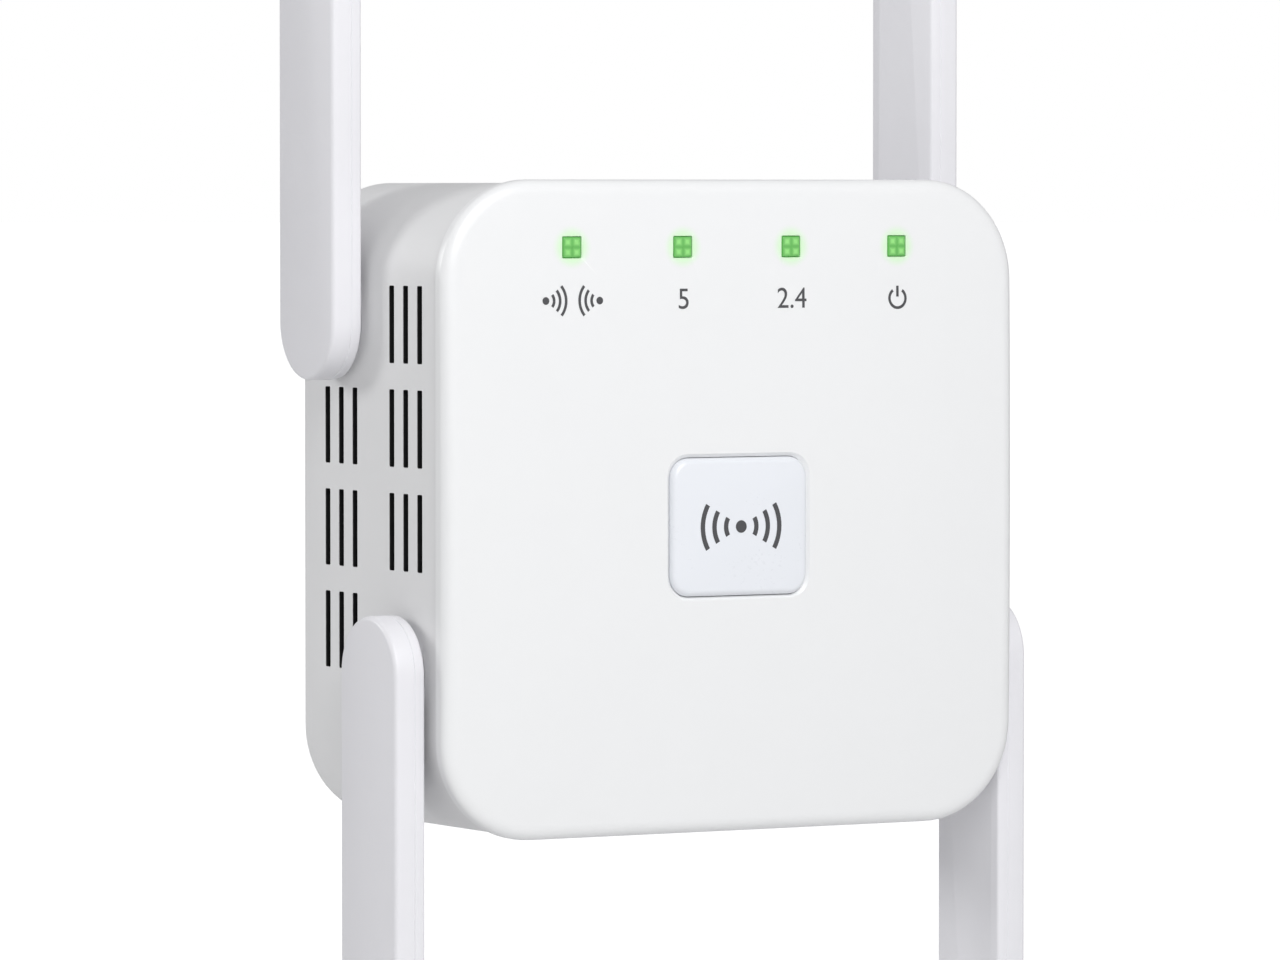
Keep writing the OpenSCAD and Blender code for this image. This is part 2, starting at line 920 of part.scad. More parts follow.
// Block centred on the socket's axis, between heights y0 and y1.
module jack_block(w, h, y0, y1) {
    block(w, y1 - y0, jack_mid_z - h / 2, jack_mid_z + h / 2, [0, (y0 + y1) / 2]);
}

module port_block(w, z0, z1, y0, y1) {
    block(w, y1 - y0, z0, z1, [0, (y0 + y1) / 2]);
}

// ---------------------------------------------------------------- power board

module power_board() {
    color([0.75, 0.65, 0.4])
        stand()
            translate([0, 0, power_board_d])
                linear_extrude(board_t)
                    difference() {
                        translate([-power_board_w / 2, power_bottom])
                            square([power_board_w, power_top - power_bottom]);
                        for (x = [-1, 1])
                            translate([x * pin_pitch / 2, 0])
                                circle(pin_tail_r + part_gap);
                        for (s = power_screw_places())
                            translate(s)
                                circle(board_screw_r + 0.2);
                    }
}

module transformer_core() {
    color([0.25, 0.25, 0.27])
        stand()
            difference() {
                block(core_w, core_t, power_front_z, power_front_z + core_h, core_at);
                for (x = [-1, 1])
                    block(core_window, core_t + through, power_front_z + core_bar,
                          power_front_z + core_h - core_bar, core_at + [x * core_w / 4, 0]);
            }
}

module transformer_winding() {
    color([0.85, 0.75, 0.2])
        stand()
            translate([core_at[0], core_at[1], power_front_z + core_bar + part_gap])
                linear_extrude(core_h - 2 * core_bar - 2 * part_gap)
                    difference() {
                        round_rect(winding_w, winding_len, winding_w / 4);
                        square([core_w / 2 - core_window + 2 * part_gap, core_t + 2 * part_gap],
                               center = true);
                    }
}

module input_capacitors() {
    color([0.15, 0.2, 0.3])
        stand()
            for (at = input_cans)
                bar(input_can_r, power_front_z, power_front_z + input_can_h, at);
}

module output_capacitors() {
    color([0.2, 0.35, 0.3])
        stand()
            for (at = output_cans)
                bar(output_can_r, power_front_z, power_front_z + output_can_h, at);
}

module bridge_rectifier() {
    color(CHIP_BLACK)
        stand()
            block(bridge_size[0], bridge_size[1], power_front_z, power_front_z + bridge_size[2], bridge_at);
}

module fuse() {
    color([0.5, 0.35, 0.25])
        stand()
            bar(fuse_r, power_front_z, power_front_z + fuse_h, fuse_at);
}

module input_inductor() {
    color([0.3, 0.3, 0.3])
        stand()
            difference() {
                bar(inductor_r, power_front_z, power_front_z + inductor_h, inductor_at);
                bar(inductor_r / 4, power_front_z + inductor_h / 2,
                    power_front_z + inductor_h + through, inductor_at);
            }
}

module power_controller() {
    color(CHIP_BLACK)
        stand()
            block(controller_size[0], controller_size[1], power_front_z,
                  power_front_z + controller_size[2], controller_at);
}

module link_header() {
    color(CHIP_BLACK)
        stand()
            difference() {
                block(link_header_w, link_count * link_pitch, power_front_z,
                      power_front_z + link_header_h, link_at);
                link_rods(link_pin_r + running_gap, 0, main_board_d);
            }
}

module link_pins() {
    color("gold")
        stand()
            link_rods(link_pin_r, power_front_z, main_board_d);
}

module link_rods(r, z0, z1) {
    for (i = [0:link_count - 1])
        bar(r, z0, z1, link_at + [0, (i - (link_count - 1) / 2) * link_pitch]);
}

// ---------------------------------------------------------------- antennas

// Puts a piece drawn for the upper right antenna's hinge axis at its own hinge.
module at_hinge(height, side) {
    stand()
        mirror([side < 0 ? 1 : 0, 0, 0])
            translate([0, hinge_y(height), hinge_d(height)])
                mirror([0, height < 0 ? 1 : 0, 0])
                    children();
}

// Flat shape in the blade's plane, u up the blade and v along the depth, between x0 and x1.
module blade_slab(x0, x1) {
    translate([x0, 0, 0])
        rotate([90, 0, 90])
            linear_extrude(x1 - x0)
                children();
}

// Blade outline: round at the hinge, small corners at the tip, drawn in by inset.
module blade_outline(inset = 0) {
    w = antenna_w - 2 * inset;
    end = antenna_len - inset;
    r = max(tip_r - inset, 0.5);
    circle(w / 2);
    translate([0, -w / 2])
        square([end - r, w]);
    translate([0, r - w / 2])
        square([end, w - 2 * r]);
    for (v = [-1, 1])
        translate([end - r, v * (w / 2 - r)])
            circle(r);
}

module antenna_outer_shell(height, side) {
    color(ANTENNA_GREY)
        at_hinge(height, side)
            difference() {
                blade_slab(blade_x + inner_shell_t, blade_x + antenna_t)
                    blade_outline();
                blade_slab(blade_x, blade_x + inner_shell_t + cavity_t)
                    blade_outline(shell_skin);
            }
}

module antenna_inner_shell(height, side) {
    color(ANTENNA_GREY)
        at_hinge(height, side)
            difference() {
                union() {
                    blade_slab(blade_x, blade_x + inner_shell_t)
                        blade_outline();
                    cross_bar(seat_r, blade_x - seat_t, blade_x + 0.5, 0, 0);
                    cross_bar(hinge_r, shaft_end_x, blade_x, 0, 0);
                }
                cross_bar(cable_hole_r, shaft_end_x - through, blade_x + antenna_t, 0, 0);
                difference() {
                    cross_bar(hinge_r + 1, clip_x - part_gap, clip_x + clip_t + running_gap, 0, 0);
                    cross_bar(hinge_r - groove_depth, clip_x - through, clip_x + 2 * clip_t, 0, 0);
                }
            }
}

module antenna_radiator(height, side) {
    color(COPPER)
        at_hinge(height, side)
            blade_slab(blade_x + inner_shell_t, blade_x + inner_shell_t + radiator_t)
                difference() {
                    translate([-3, -radiator_w / 2])
                        square([radiator_len + 3, radiator_w]);
                    circle(cable_r + 0.3);
                    for (v = [-1, 1])
                        translate([14, v * 2.2])
                            square([radiator_len - 20, 1], center = false);
                }
}

module antenna_retaining_clip(height, side) {
    color(METAL)
        at_hinge(height, side)
            difference() {
                cross_bar(clip_r, clip_x, clip_x + clip_t, 0, 0);
                cross_bar(hinge_r - groove_depth + running_gap, clip_x - through,
                          clip_x + clip_t + through, 0, 0);
                translate([clip_x - through, -1.4, 0])
                    cube([clip_t + 2 * through, 2.8, clip_r + 1]);
            }
}

module friction_washers() {
    color([0.3, 0.3, 0.32])
        for (h = HEIGHTS)
            for (s = SIDES)
                at_hinge(h[1], s[1])
                    difference() {
                        cross_bar(washer_r, wall_in_x - washer_t, wall_in_x, 0, 0);
                        cross_bar(hinge_r + running_gap, wall_in_x - washer_t - through,
                                  wall_in_x + through, 0, 0);
                    }
}

module antenna_cable(height, side) {
    color([0.2, 0.2, 0.22])
        stand()
            mirror([side < 0 ? 1 : 0, 0, 0])
                tube(smooth(height > 0 ? upper_route : lower_route, 3), cable_r, 8);
}

// Catmull-Rom curve through the points p, with n steps between neighbours.
function smooth(p, n) = concat(
    [for (i = [0:len(p) - 2]) for (k = [0:n - 1]) spline_point(p, i, k / n)],
    [p[len(p) - 1]]);

function spline_point(p, i, t) =
    let (a = p[max(i - 1, 0)], b = p[i], c = p[i + 1], d = p[min(i + 2, len(p) - 1)])
    0.5 * (2 * b + (c - a) * t + (2 * a - 5 * b + 4 * c - d) * t * t
           + (3 * b - a - 3 * c + d) * t * t * t);

function unit(v) = v / norm(v);

// Round tube of radius r along the path p, with the given number of sides.
module tube(p, r, sides) {
    n = len(p);
    along = [for (i = [0:n - 1]) unit(p[min(i + 1, n - 1)] - p[max(i - 1, 0)])];
    ring = [for (i = [0:n - 1])
        let (u = unit(cross(along[i], [0, 1, 0.3])), v = cross(along[i], u))
        for (k = [0:sides - 1])
            p[i] + r * (cos(360 * k / sides) * u + sin(360 * k / sides) * v)];
    walls = [for (i = [0:n - 2]) for (k = [0:sides - 1])
        let (a = i * sides + k, b = i * sides + (k + 1) % sides)
        [a, a + sides, b + sides, b]];
    ends = [[for (k = [0:sides - 1]) k],
            [for (k = [sides - 1:-1:0]) (n - 1) * sides + k]];
    polyhedron(points = ring, faces = concat(walls, ends));
}

// ---------------------------------------------------------------- the assembly

front_cover();
rear_housing();
plug_base();
left_plug_pin();
right_plug_pin();
housing_screws();
rating_label();
pairing_button();
light_guides();
status_leds();
main_board();
processor();
thermal_pad();
heat_sink();
memory_chip();
radio_chips();
radio_shields();
antenna_sockets();
ethernet_transformer();
ethernet_jack_shell();
ethernet_jack_insert();
ethernet_contacts();
pairing_switch_body();
pairing_switch_plunger();
reset_switch_body();
reset_switch_plunger();
board_screws();
power_board();
transformer_core();
transformer_winding();
input_capacitors();
output_capacitors();
bridge_rectifier();
fuse();
input_inductor();
power_controller();
link_header();
link_pins();
friction_washers();
for (h = HEIGHTS)
    for (s = SIDES) {
        name = str(h[0], "_", s[0], "_antenna_");
        antenna_outer_shell(h[1], s[1]);
        antenna_inner_shell(h[1], s[1]);
        antenna_radiator(h[1], s[1]);
        antenna_retaining_clip(h[1], s[1]);
        antenna_cable(h[1], s[1]);
    }
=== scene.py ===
"""Looks of a plug-in wifi range extender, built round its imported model."""
import json
import math
import bpy
from mathutils import Matrix, Vector


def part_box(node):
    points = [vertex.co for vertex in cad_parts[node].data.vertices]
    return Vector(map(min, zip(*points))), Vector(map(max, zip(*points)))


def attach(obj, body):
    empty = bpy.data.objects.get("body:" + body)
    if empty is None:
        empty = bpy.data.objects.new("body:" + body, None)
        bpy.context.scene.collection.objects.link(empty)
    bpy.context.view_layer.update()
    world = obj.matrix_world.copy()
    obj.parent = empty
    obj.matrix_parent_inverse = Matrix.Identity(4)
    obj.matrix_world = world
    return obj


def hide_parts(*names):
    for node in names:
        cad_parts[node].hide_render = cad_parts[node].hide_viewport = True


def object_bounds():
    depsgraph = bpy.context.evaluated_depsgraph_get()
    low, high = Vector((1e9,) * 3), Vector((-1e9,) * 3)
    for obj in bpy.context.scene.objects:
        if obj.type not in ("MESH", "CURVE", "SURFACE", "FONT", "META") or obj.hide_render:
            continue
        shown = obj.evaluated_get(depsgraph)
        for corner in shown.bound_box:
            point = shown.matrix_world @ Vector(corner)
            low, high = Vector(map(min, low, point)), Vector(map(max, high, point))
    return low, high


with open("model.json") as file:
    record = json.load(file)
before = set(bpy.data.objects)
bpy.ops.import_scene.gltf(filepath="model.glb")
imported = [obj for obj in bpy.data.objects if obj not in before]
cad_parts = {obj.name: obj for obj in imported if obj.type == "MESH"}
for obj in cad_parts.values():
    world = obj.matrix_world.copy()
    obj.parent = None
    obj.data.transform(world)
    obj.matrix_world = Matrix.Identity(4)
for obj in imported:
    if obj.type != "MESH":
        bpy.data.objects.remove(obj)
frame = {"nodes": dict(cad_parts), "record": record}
CAD_BOX = [list(corner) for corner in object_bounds()]

MM = 0.001
TINY = 0.01 * MM
SHARP_FROM = math.radians(35)
X, Y, Z = 0, 1, 2
# Times a gap, this is what a front-facing hole gains over what sits in it.
ROUND_ABOUT = Vector((2, 0, 2))
SIDES = {"left": -1, "right": 1}
HEIGHTS = {"upper": 1, "lower": -1}

# ---------------------------------------------------------------- sizes

COVER_LOW, COVER_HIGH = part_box("front_cover")
HOUSING_LOW, HOUSING_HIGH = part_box("rear_housing")
BUTTON_END_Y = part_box("pairing_button")[1].y
FRONT_Y = COVER_LOW.y
SEAM_Y = HOUSING_LOW.y
REAR_Y = HOUSING_HIGH.y

CORNER_R = 12 * MM
SEAM_STEP = COVER_HIGH.x - HOUSING_HIGH.x
WALL = 2 * MM
DOME_RISE = 1.2 * MM
DOME_REACH = math.hypot(COVER_HIGH.x, COVER_HIGH.z) - CORNER_R * (math.sqrt(2) - 1)
DOME_R = (DOME_REACH ** 2 + DOME_RISE ** 2) / (2 * DOME_RISE)
COVER_ROUND = 1.8 * MM
LIP_T = 1.2 * MM
LIP_LEN = 2.5 * MM
PART_GAP = 0.1 * MM
RUNNING_GAP = 0.05 * MM
# How far a piece that grows out of another starts inside it.
ROOTED = 0.3 * MM
# How far a cutter starts outside the piece that it cuts.
CLEAR = 1 * MM

BUTTON_SIZE = Vector((18.8, 0, 16.5)) * MM
BUTTON_Z = -2.4 * MM
BUTTON_R = 2.5 * MM
BUTTON_ROUND = 0.8 * MM
BUTTON_FLANGE = 0.8 * MM
STEM_R = 2 * MM
COLLAR_ROOM = 1.8 * MM
COLLAR_T = 1 * MM
COLLAR_LEN = 2.8 * MM
BEHIND_COVER_Y = SEAM_Y - 0.2 * MM
BUTTON_PROUD = 0.46 * MM
BUTTON_GAP = 0.08 * MM
BUTTON_GROOVE = 0.45 * MM
LIGHT_SIDE = 2.4 * MM
LIGHT_SIZE = Vector((LIGHT_SIDE, 0, LIGHT_SIDE))
LIGHT_Z = 31 * MM
LIGHT_PITCH = 15 * MM
LIGHT_CORNER = 0.15 * MM
LIGHT_GROOVE = 0.08 * MM
LIGHT_PROUD = 0.04 * MM
GUIDE_HALF = 2.2 * MM
GUIDE_T = 1.6 * MM

SLIT_LEN = 9.2 * MM
SLIT_W = 1.3 * MM
SLIT_PITCH = 3.5 * MM
ROW_PITCH = 12.3 * MM
VENT_MID = 3.4 * MM
REAR_VENT_Y = REAR_Y - 10.2 * MM
FRONT_VENT_Y = REAR_Y - 26.6 * MM
HINGE_R = 3.5 * MM
CABLE_HOLE_R = 1.5 * MM
SCREW_AT = Vector((30.47, 0, 29.97)) * MM
WELL_R = 2.8 * MM
WELL_OUTER_R = 4 * MM
WELL_DEPTH = 20 * MM
WELL_FLOOR = 2 * MM
SCREW_HOLE_R = 1.5 * MM
POST_R = 3.2 * MM
POST_BORE_R = 1.3 * MM
PINHOLE_R = 0.8 * MM
LABEL_DEPTH = 0.4 * MM
LABEL_R = 1.5 * MM

PLUG_R = 18.25 * MM
PLUG_FLATS = 31 * MM
PLUG_WALL = 2 * MM
PIN_R = 2.4 * MM
PIN_X = 9.5 * MM
PIN_RELIEF = 0.5 * MM
PLUG_FLANGE = 4 * MM
PLUG_FLANGE_Y = REAR_Y - WALL
BOSS_WALL = 1.6 * MM
BOSS_END_Y = PLUG_FLANGE_Y - 2 * MM
EARTH_HOLE_R = 3 * MM
EARTH_HOLE_LEN = 15 * MM
EARTH_HOLE_Z = 10 * MM
EARTH_WALL = 1.3 * MM
CONTACT_PITCH = 1.02 * MM

SEAT_R = 5.4 * MM
SEAT_T = 0.7 * MM
INNER_SHELL_T = 1.4 * MM
TIP_R = 3 * MM
INK = 0.02 * MM


def dome_drop(x, z):
    """How far the domed front stands behind its highest point."""
    return (x * x + z * z) / (2 * DOME_R)


def row_z(row):
    return VENT_MID + (1.5 - row) * ROW_PITCH


# ---------------------------------------------------------------- modelling helpers

def only(piece):
    bpy.ops.object.select_all(action="DESELECT")
    piece.select_set(True)
    bpy.context.view_layer.objects.active = piece


def settled(name):
    """Names the primitive just added and moves its place into its mesh."""
    piece = bpy.context.object
    piece.name = piece.data.name = name
    only(piece)
    bpy.ops.object.transform_apply(location=True, rotation=True, scale=True)
    return piece


def block(name, low, high):
    bpy.ops.object.select_all(action="DESELECT")
    low, high = Vector(low), Vector(high)
    bpy.ops.mesh.primitive_cube_add(size=1, location=(low + high) / 2, scale=high - low)
    return settled(name)


def rod(name, start, end, radius, sides=48):
    bpy.ops.object.select_all(action="DESELECT")
    start, end = Vector(start), Vector(end)
    turn = (end - start).to_track_quat("Z", "Y").to_euler()
    bpy.ops.mesh.primitive_cylinder_add(vertices=sides, radius=radius, depth=(end - start).length,
                                        location=(start + end) / 2, rotation=turn)
    return settled(name)


def edit(piece, kind, wanted):
    """Enters edit mode with just the vertices, edges or faces selected that wanted chooses."""
    only(piece)
    bpy.context.tool_settings.mesh_select_mode = [kind == k for k in ("VERT", "EDGE", "FACE")]
    mesh = piece.data
    for part in (mesh.vertices, mesh.edges, mesh.polygons):
        part.foreach_set("select", [False] * len(part))
    spots = [v.co for v in mesh.vertices]
    if kind == "EDGE":
        for edge in mesh.edges:
            edge.select = wanted(*[spots[i] for i in edge.vertices])
    else:
        for face in mesh.polygons:
            face.select = wanted(face.center, face.normal)
    bpy.ops.object.mode_set(mode="EDIT")


def edit_all(piece):
    """Enters edit mode with the whole piece selected."""
    edit(piece, "FACE", lambda centre, normal: True)
    bpy.ops.mesh.select_all(action="SELECT")


def leave():
    bpy.ops.object.mode_set(mode="OBJECT")


def along(axis):
    """Chooses the edges that run along an axis."""
    return lambda a, b: all(abs(a[k] - b[k]) < TINY for k in (X, Y, Z) if k != axis)


def rim(axis, at):
    """Chooses the edges that lie in the plane where the axis reads at."""
    return lambda a, b: abs(a[axis] - at) < TINY and abs(b[axis] - at) < TINY


def facing(axis, at):
    """Chooses the faces that lie in the plane where the axis reads at."""
    return lambda centre, normal: abs(centre[axis] - at) < TINY and abs(normal[axis]) > 0.9


def round_edges(piece, wanted, radius, steps):
    edit(piece, "EDGE", wanted)
    bpy.ops.mesh.bevel(offset=radius, segments=steps, affect="EDGES")
    leave()


def slab(name, low, high, radius, steps=12):
    """Block whose four edges along the depth are rounded."""
    piece = block(name, low, high)
    round_edges(piece, along(Y), radius, steps)
    return piece


def slab_at(name, x, z, size, y0, y1, radius, steps=8):
    """Round-cornered slab of size.x by size.z round a point of the front."""
    return slab(name, (x - size.x / 2, y0, z - size.z / 2), (x + size.x / 2, y1, z + size.z / 2),
                radius, steps)


def hollow(piece, wanted, wall, move):
    """Sinks the chosen face, less a wall round it."""
    edit(piece, "FACE", wanted)
    bpy.ops.mesh.inset(thickness=wall)
    bpy.ops.mesh.extrude_region_move(TRANSFORM_OT_translate={"value": move})
    leave()


def grow_face(piece, wanted, move, scale, centre):
    """Draws the chosen face out by move, and scales it round centre."""
    edit(piece, "FACE", wanted)
    bpy.ops.mesh.extrude_region_move(TRANSFORM_OT_translate={"value": move})
    bpy.ops.transform.resize(value=scale, center_override=centre)
    leave()


def combine(piece, tool, operation="DIFFERENCE"):
    step = piece.modifiers.new("combine", "BOOLEAN")
    step.operation = operation
    step.solver = "EXACT"
    step.object = tool
    only(piece)
    bpy.ops.object.modifier_apply(modifier=step.name)
    bpy.data.objects.remove(tool)


def unite(piece, tool):
    combine(piece, tool, "UNION")


def copied(piece, name, place):
    """Copy with its own mesh, placed by a matrix. A mirrored copy has its faces turned back."""
    twin = piece.copy()
    twin.data = piece.data.copy()
    twin.name = twin.data.name = name
    bpy.context.scene.collection.objects.link(twin)
    twin.data.transform(place)
    if place.determinant() < 0:
        twin.data.flip_normals()
    return twin


def joined(name, pieces):
    bpy.ops.object.select_all(action="DESELECT")
    for piece in pieces:
        piece.select_set(True)
    bpy.context.view_layer.objects.active = pieces[0]
    bpy.ops.object.join()
    whole = bpy.context.object
    whole.name = whole.data.name = name
    return whole


def turned_to(sign_x, sign_z):
    return Matrix.Diagonal((sign_x, 1, sign_z, 1))


def over_dome(piece, behind=math.inf):
    """Lays what was drawn flat at the front's highest point onto the domed front, up to a depth."""
    for v in piece.data.vertices:
        if v.co.y < behind:
            v.co.y += dome_drop(v.co.x, v.co.z)


def put(piece, body, material, slot, *replaced):
    """Shades the finished piece, gives it its body and its finish, and hides the imported nodes that it
    stands for.
    """
    only(piece)
    bpy.ops.object.shade_smooth_by_angle(angle=SHARP_FROM)
    piece.data.materials.clear()
    piece.data.materials.append(material)
    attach(piece, body)
    if replaced:
        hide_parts(*replaced)


# ---------------------------------------------------------------- material helpers

def node(tree, kind, links=None, **values):
    """Adds a node, sets its properties and sockets by name, and links what links names to it."""
    made = tree.nodes.new(kind)
    for key, value in values.items():
        if hasattr(made, key):
            setattr(made, key, value)
        else:
            made.inputs[key.replace("_", " ")].default_value = value
    for key, source in (links or {}).items():
        tree.links.new(source, made.inputs[key])
    return made


def fill(tree, socket, value):
    """Links a socket to another one, or sets it to a plain number or colour."""
    if isinstance(value, tuple):
        socket.default_value = (*value, 1)
    elif isinstance(value, (int, float)):
        socket.default_value = value
    else:
        tree.links.new(value, socket)


def maths(tree, operation, *terms):
    made = node(tree, "ShaderNodeMath", operation=operation)
    for socket, term in zip(made.inputs, terms):
        fill(tree, socket, term)
    return made.outputs[0]


def blend(tree, factor, first, second):
    """Mixes two colours, each a socket or a plain colour, in a Mix node's colour sockets."""
    mix = node(tree, "ShaderNodeMix", {"Factor": factor}, data_type="RGBA")
    fill(tree, mix.inputs[6], first)
    fill(tree, mix.inputs[7], second)
    return mix.outputs[2]


def new_group(name, inputs, outputs):
    """Node group with named sockets: returns its tree, its input node and its output node."""
    tree = bpy.data.node_groups.new(name, "ShaderNodeTree")
    for label, kind, value in inputs:
        socket = tree.interface.new_socket(label, in_out="INPUT", socket_type=kind)
        socket.default_value = value
    for label, kind in outputs:
        tree.interface.new_socket(label, in_out="OUTPUT", socket_type=kind)
    return tree, tree.nodes.new("NodeGroupInput").outputs, tree.nodes.new("NodeGroupOutput").inputs


BEND = 4 * MM
PER_MM = 1000
SOLDER = (0.75, 0.72, 0.66)
FLOAT, COLOUR, VECTOR = "NodeSocketFloat", "NodeSocketColor", "NodeSocketVector"


def moulded_surface_group():
    """Plastic as it leaves the mould: slow mottling of tone and gloss, and a fine spark-eroded grain."""
    tree, given, result = new_group(
        "moulded surface",
        [("Colour", COLOUR, (0.8, 0.8, 0.8, 1)), ("Tone", FLOAT, 0.03), ("Roughness", FLOAT, 0.4),
         ("Gloss spread", FLOAT, 0.1), ("Grain size", FLOAT, 0.3)],
        [("Colour", COLOUR), ("Roughness", FLOAT), ("Height", FLOAT)])
    place = node(tree, "ShaderNodeTexCoord").outputs["Object"]
    slow = node(tree, "ShaderNodeTexNoise", {"Vector": place}, Scale=55, Detail=3, Roughness=0.6)
    size = maths(tree, "DIVIDE", PER_MM, given["Grain size"])
    grain = node(tree, "ShaderNodeTexNoise", {"Vector": place, "Scale": size}, Detail=4, Roughness=0.65)
    swing = maths(tree, "SUBTRACT", slow.outputs["Fac"], 0.5)
    shade = maths(tree, "MULTIPLY_ADD", swing, given["Tone"], 1)
    tint = node(tree, "ShaderNodeVectorMath", {0: given["Colour"], "Scale": shade}, operation="SCALE")
    centred = maths(tree, "SUBTRACT", maths(tree, "ADD", swing, grain.outputs["Fac"]), 0.5)
    rough = maths(tree, "MULTIPLY_ADD", centred, given["Gloss spread"], given["Roughness"])
    tree.links.new(tint.outputs[0], result["Colour"])
    tree.links.new(rough, result["Roughness"])
    tree.links.new(grain.outputs["Fac"], result["Height"])
    return tree


def handling_group():
    """Faint rubbed patches and hairline scratches left by hands and packaging."""
    tree, given, result = new_group(
        "handling marks", [("Roughness", FLOAT, 0.4), ("Amount", FLOAT, 0.1)], [("Roughness", FLOAT)])
    place = node(tree, "ShaderNodeTexCoord").outputs["Object"]
    bent = node(tree, "ShaderNodeTexNoise", {"Vector": place}, Scale=30, Detail=2)
    small = node(tree, "ShaderNodeVectorMath", {0: bent.outputs["Color"]}, operation="SCALE", Scale=BEND)
    shifted = node(tree, "ShaderNodeVectorMath", {0: place, 1: small.outputs[0]}, operation="ADD")
    squeezed = node(tree, "ShaderNodeMapping", {"Vector": shifted.outputs[0]})
    squeezed.inputs["Scale"].default_value = (8, 60, 300)
    squeezed.inputs["Rotation"].default_value = (0.2, 0.6, 0.3)
    lines = node(tree, "ShaderNodeTexNoise", {"Vector": squeezed.outputs[0]}, Scale=4, Detail=2)
    hair = node(tree, "ShaderNodeMapRange", {"Value": lines.outputs["Fac"]}, From_Min=0.66, From_Max=0.72)
    patch = node(tree, "ShaderNodeTexNoise", {"Vector": place}, Scale=22, Detail=4)
    rubbed = node(tree, "ShaderNodeMapRange", {"Value": patch.outputs["Fac"]}, From_Min=0.5, From_Max=0.7)
    both = maths(tree, "ADD", hair.outputs[0], rubbed.outputs[0])
    rough = maths(tree, "MULTIPLY_ADD", both, given["Amount"], given["Roughness"])
    tree.links.new(rough, result["Roughness"])
    return tree


def brushed_group():
    """Drawn or plated metal: streaks along one direction, and slow tarnish."""
    tree, given, result = new_group(
        "brushed metal", [("Colour", COLOUR, (0.7, 0.7, 0.7, 1)), ("Roughness", FLOAT, 0.3),
                          ("Streaks", VECTOR, (900, 60, 900))],
        [("Colour", COLOUR), ("Roughness", FLOAT), ("Height", FLOAT)])
    place = node(tree, "ShaderNodeTexCoord").outputs["Object"]
    drawn = node(tree, "ShaderNodeVectorMath", {0: place, 1: given["Streaks"]}, operation="MULTIPLY")
    streak = node(tree, "ShaderNodeTexNoise", {"Vector": drawn.outputs[0]}, Scale=1, Detail=3)
    tarnish = node(tree, "ShaderNodeTexNoise", {"Vector": place}, Scale=160, Detail=4)
    shade = node(tree, "ShaderNodeMapRange", {"Value": tarnish.outputs["Fac"]}, To_Min=0.86, To_Max=1.1)
    tint = node(tree, "ShaderNodeVectorMath", {0: given["Colour"], "Scale": shade.outputs[0]},
                operation="SCALE")
    spread = node(tree, "ShaderNodeMapRange", {"Value": streak.outputs["Fac"]}, To_Min=-0.1, To_Max=0.14)
    tree.links.new(tint.outputs[0], result["Colour"])
    tree.links.new(maths(tree, "ADD", spread.outputs[0], given["Roughness"]), result["Roughness"])
    tree.links.new(streak.outputs["Fac"], result["Height"])
    return tree


def tracks_group():
    """Circuit tracks under a board's coating: a mask of straight runs in two directions."""
    tree, given, result = new_group("board tracks", [("Pitch", FLOAT, 1.6)],
                                    [("Track", FLOAT), ("Pad", FLOAT)])
    place = node(tree, "ShaderNodeTexCoord").outputs["Object"]
    laid = node(tree, "ShaderNodeMapping", {"Vector": place})
    laid.inputs["Rotation"].default_value = (math.pi / 2, 0, 0)
    size = maths(tree, "DIVIDE", PER_MM, given["Pitch"])
    runs = node(tree, "ShaderNodeTexBrick", {"Vector": laid.outputs[0], "Scale": size},
                Mortar_Size=0.06, Mortar_Smooth=0.2, Brick_Width=3.3, Row_Height=0.5)
    dots = node(tree, "ShaderNodeTexVoronoi", {"Vector": laid.outputs[0], "Scale": size})
    pad = node(tree, "ShaderNodeMapRange", {"Value": dots.outputs["Distance"]}, From_Min=0.2,
               From_Max=0.14)
    tree.links.new(runs.outputs["Fac"], result["Track"])
    tree.links.new(pad.outputs[0], result["Pad"])
    return tree


MOULDED = moulded_surface_group()
HANDLED = handling_group()
BRUSHED = brushed_group()
TRACKS = tracks_group()


def new_material(name):
    material = bpy.data.materials.new(name)
    material.use_nodes = True
    tree = material.node_tree
    return material, tree, tree.nodes["Principled BSDF"]


def use_group(tree, group, **values):
    made = tree.nodes.new("ShaderNodeGroup")
    made.node_tree = group
    for key, value in values.items():
        made.inputs[key.replace("_", " ")].default_value = value
    return made


def relief(tree, shader, height, depth, below=None):
    """Bump of a real depth in metres."""
    bump = node(tree, "ShaderNodeBump", {"Height": height}, Strength=1, Distance=depth)
    if below:
        tree.links.new(below, bump.inputs["Normal"])
    tree.links.new(bump.outputs[0], shader.inputs["Normal"])
    return bump.outputs[0]


def plastic(name, colour, roughness, grain=0.35, depth=0.01, tone=0.04, wear=0.06, coat=0):
    """Moulded plastic. Grain is the texture's size and depth its relief, both in millimetres."""
    material, tree, shader = new_material(name)
    surface = use_group(tree, MOULDED, Colour=(*colour, 1), Tone=tone, Roughness=roughness,
                        Gloss_spread=0.12, Grain_size=grain)
    marks = use_group(tree, HANDLED, Amount=wear)
    tree.links.new(surface.outputs["Roughness"], marks.inputs["Roughness"])
    tree.links.new(surface.outputs["Colour"], shader.inputs["Base Color"])
    tree.links.new(marks.outputs["Roughness"], shader.inputs["Roughness"])
    relief(tree, shader, surface.outputs["Height"], depth * MM)
    shader.inputs["Coat Weight"].default_value = coat
    shader.inputs["Coat Roughness"].default_value = 0.3
    return material


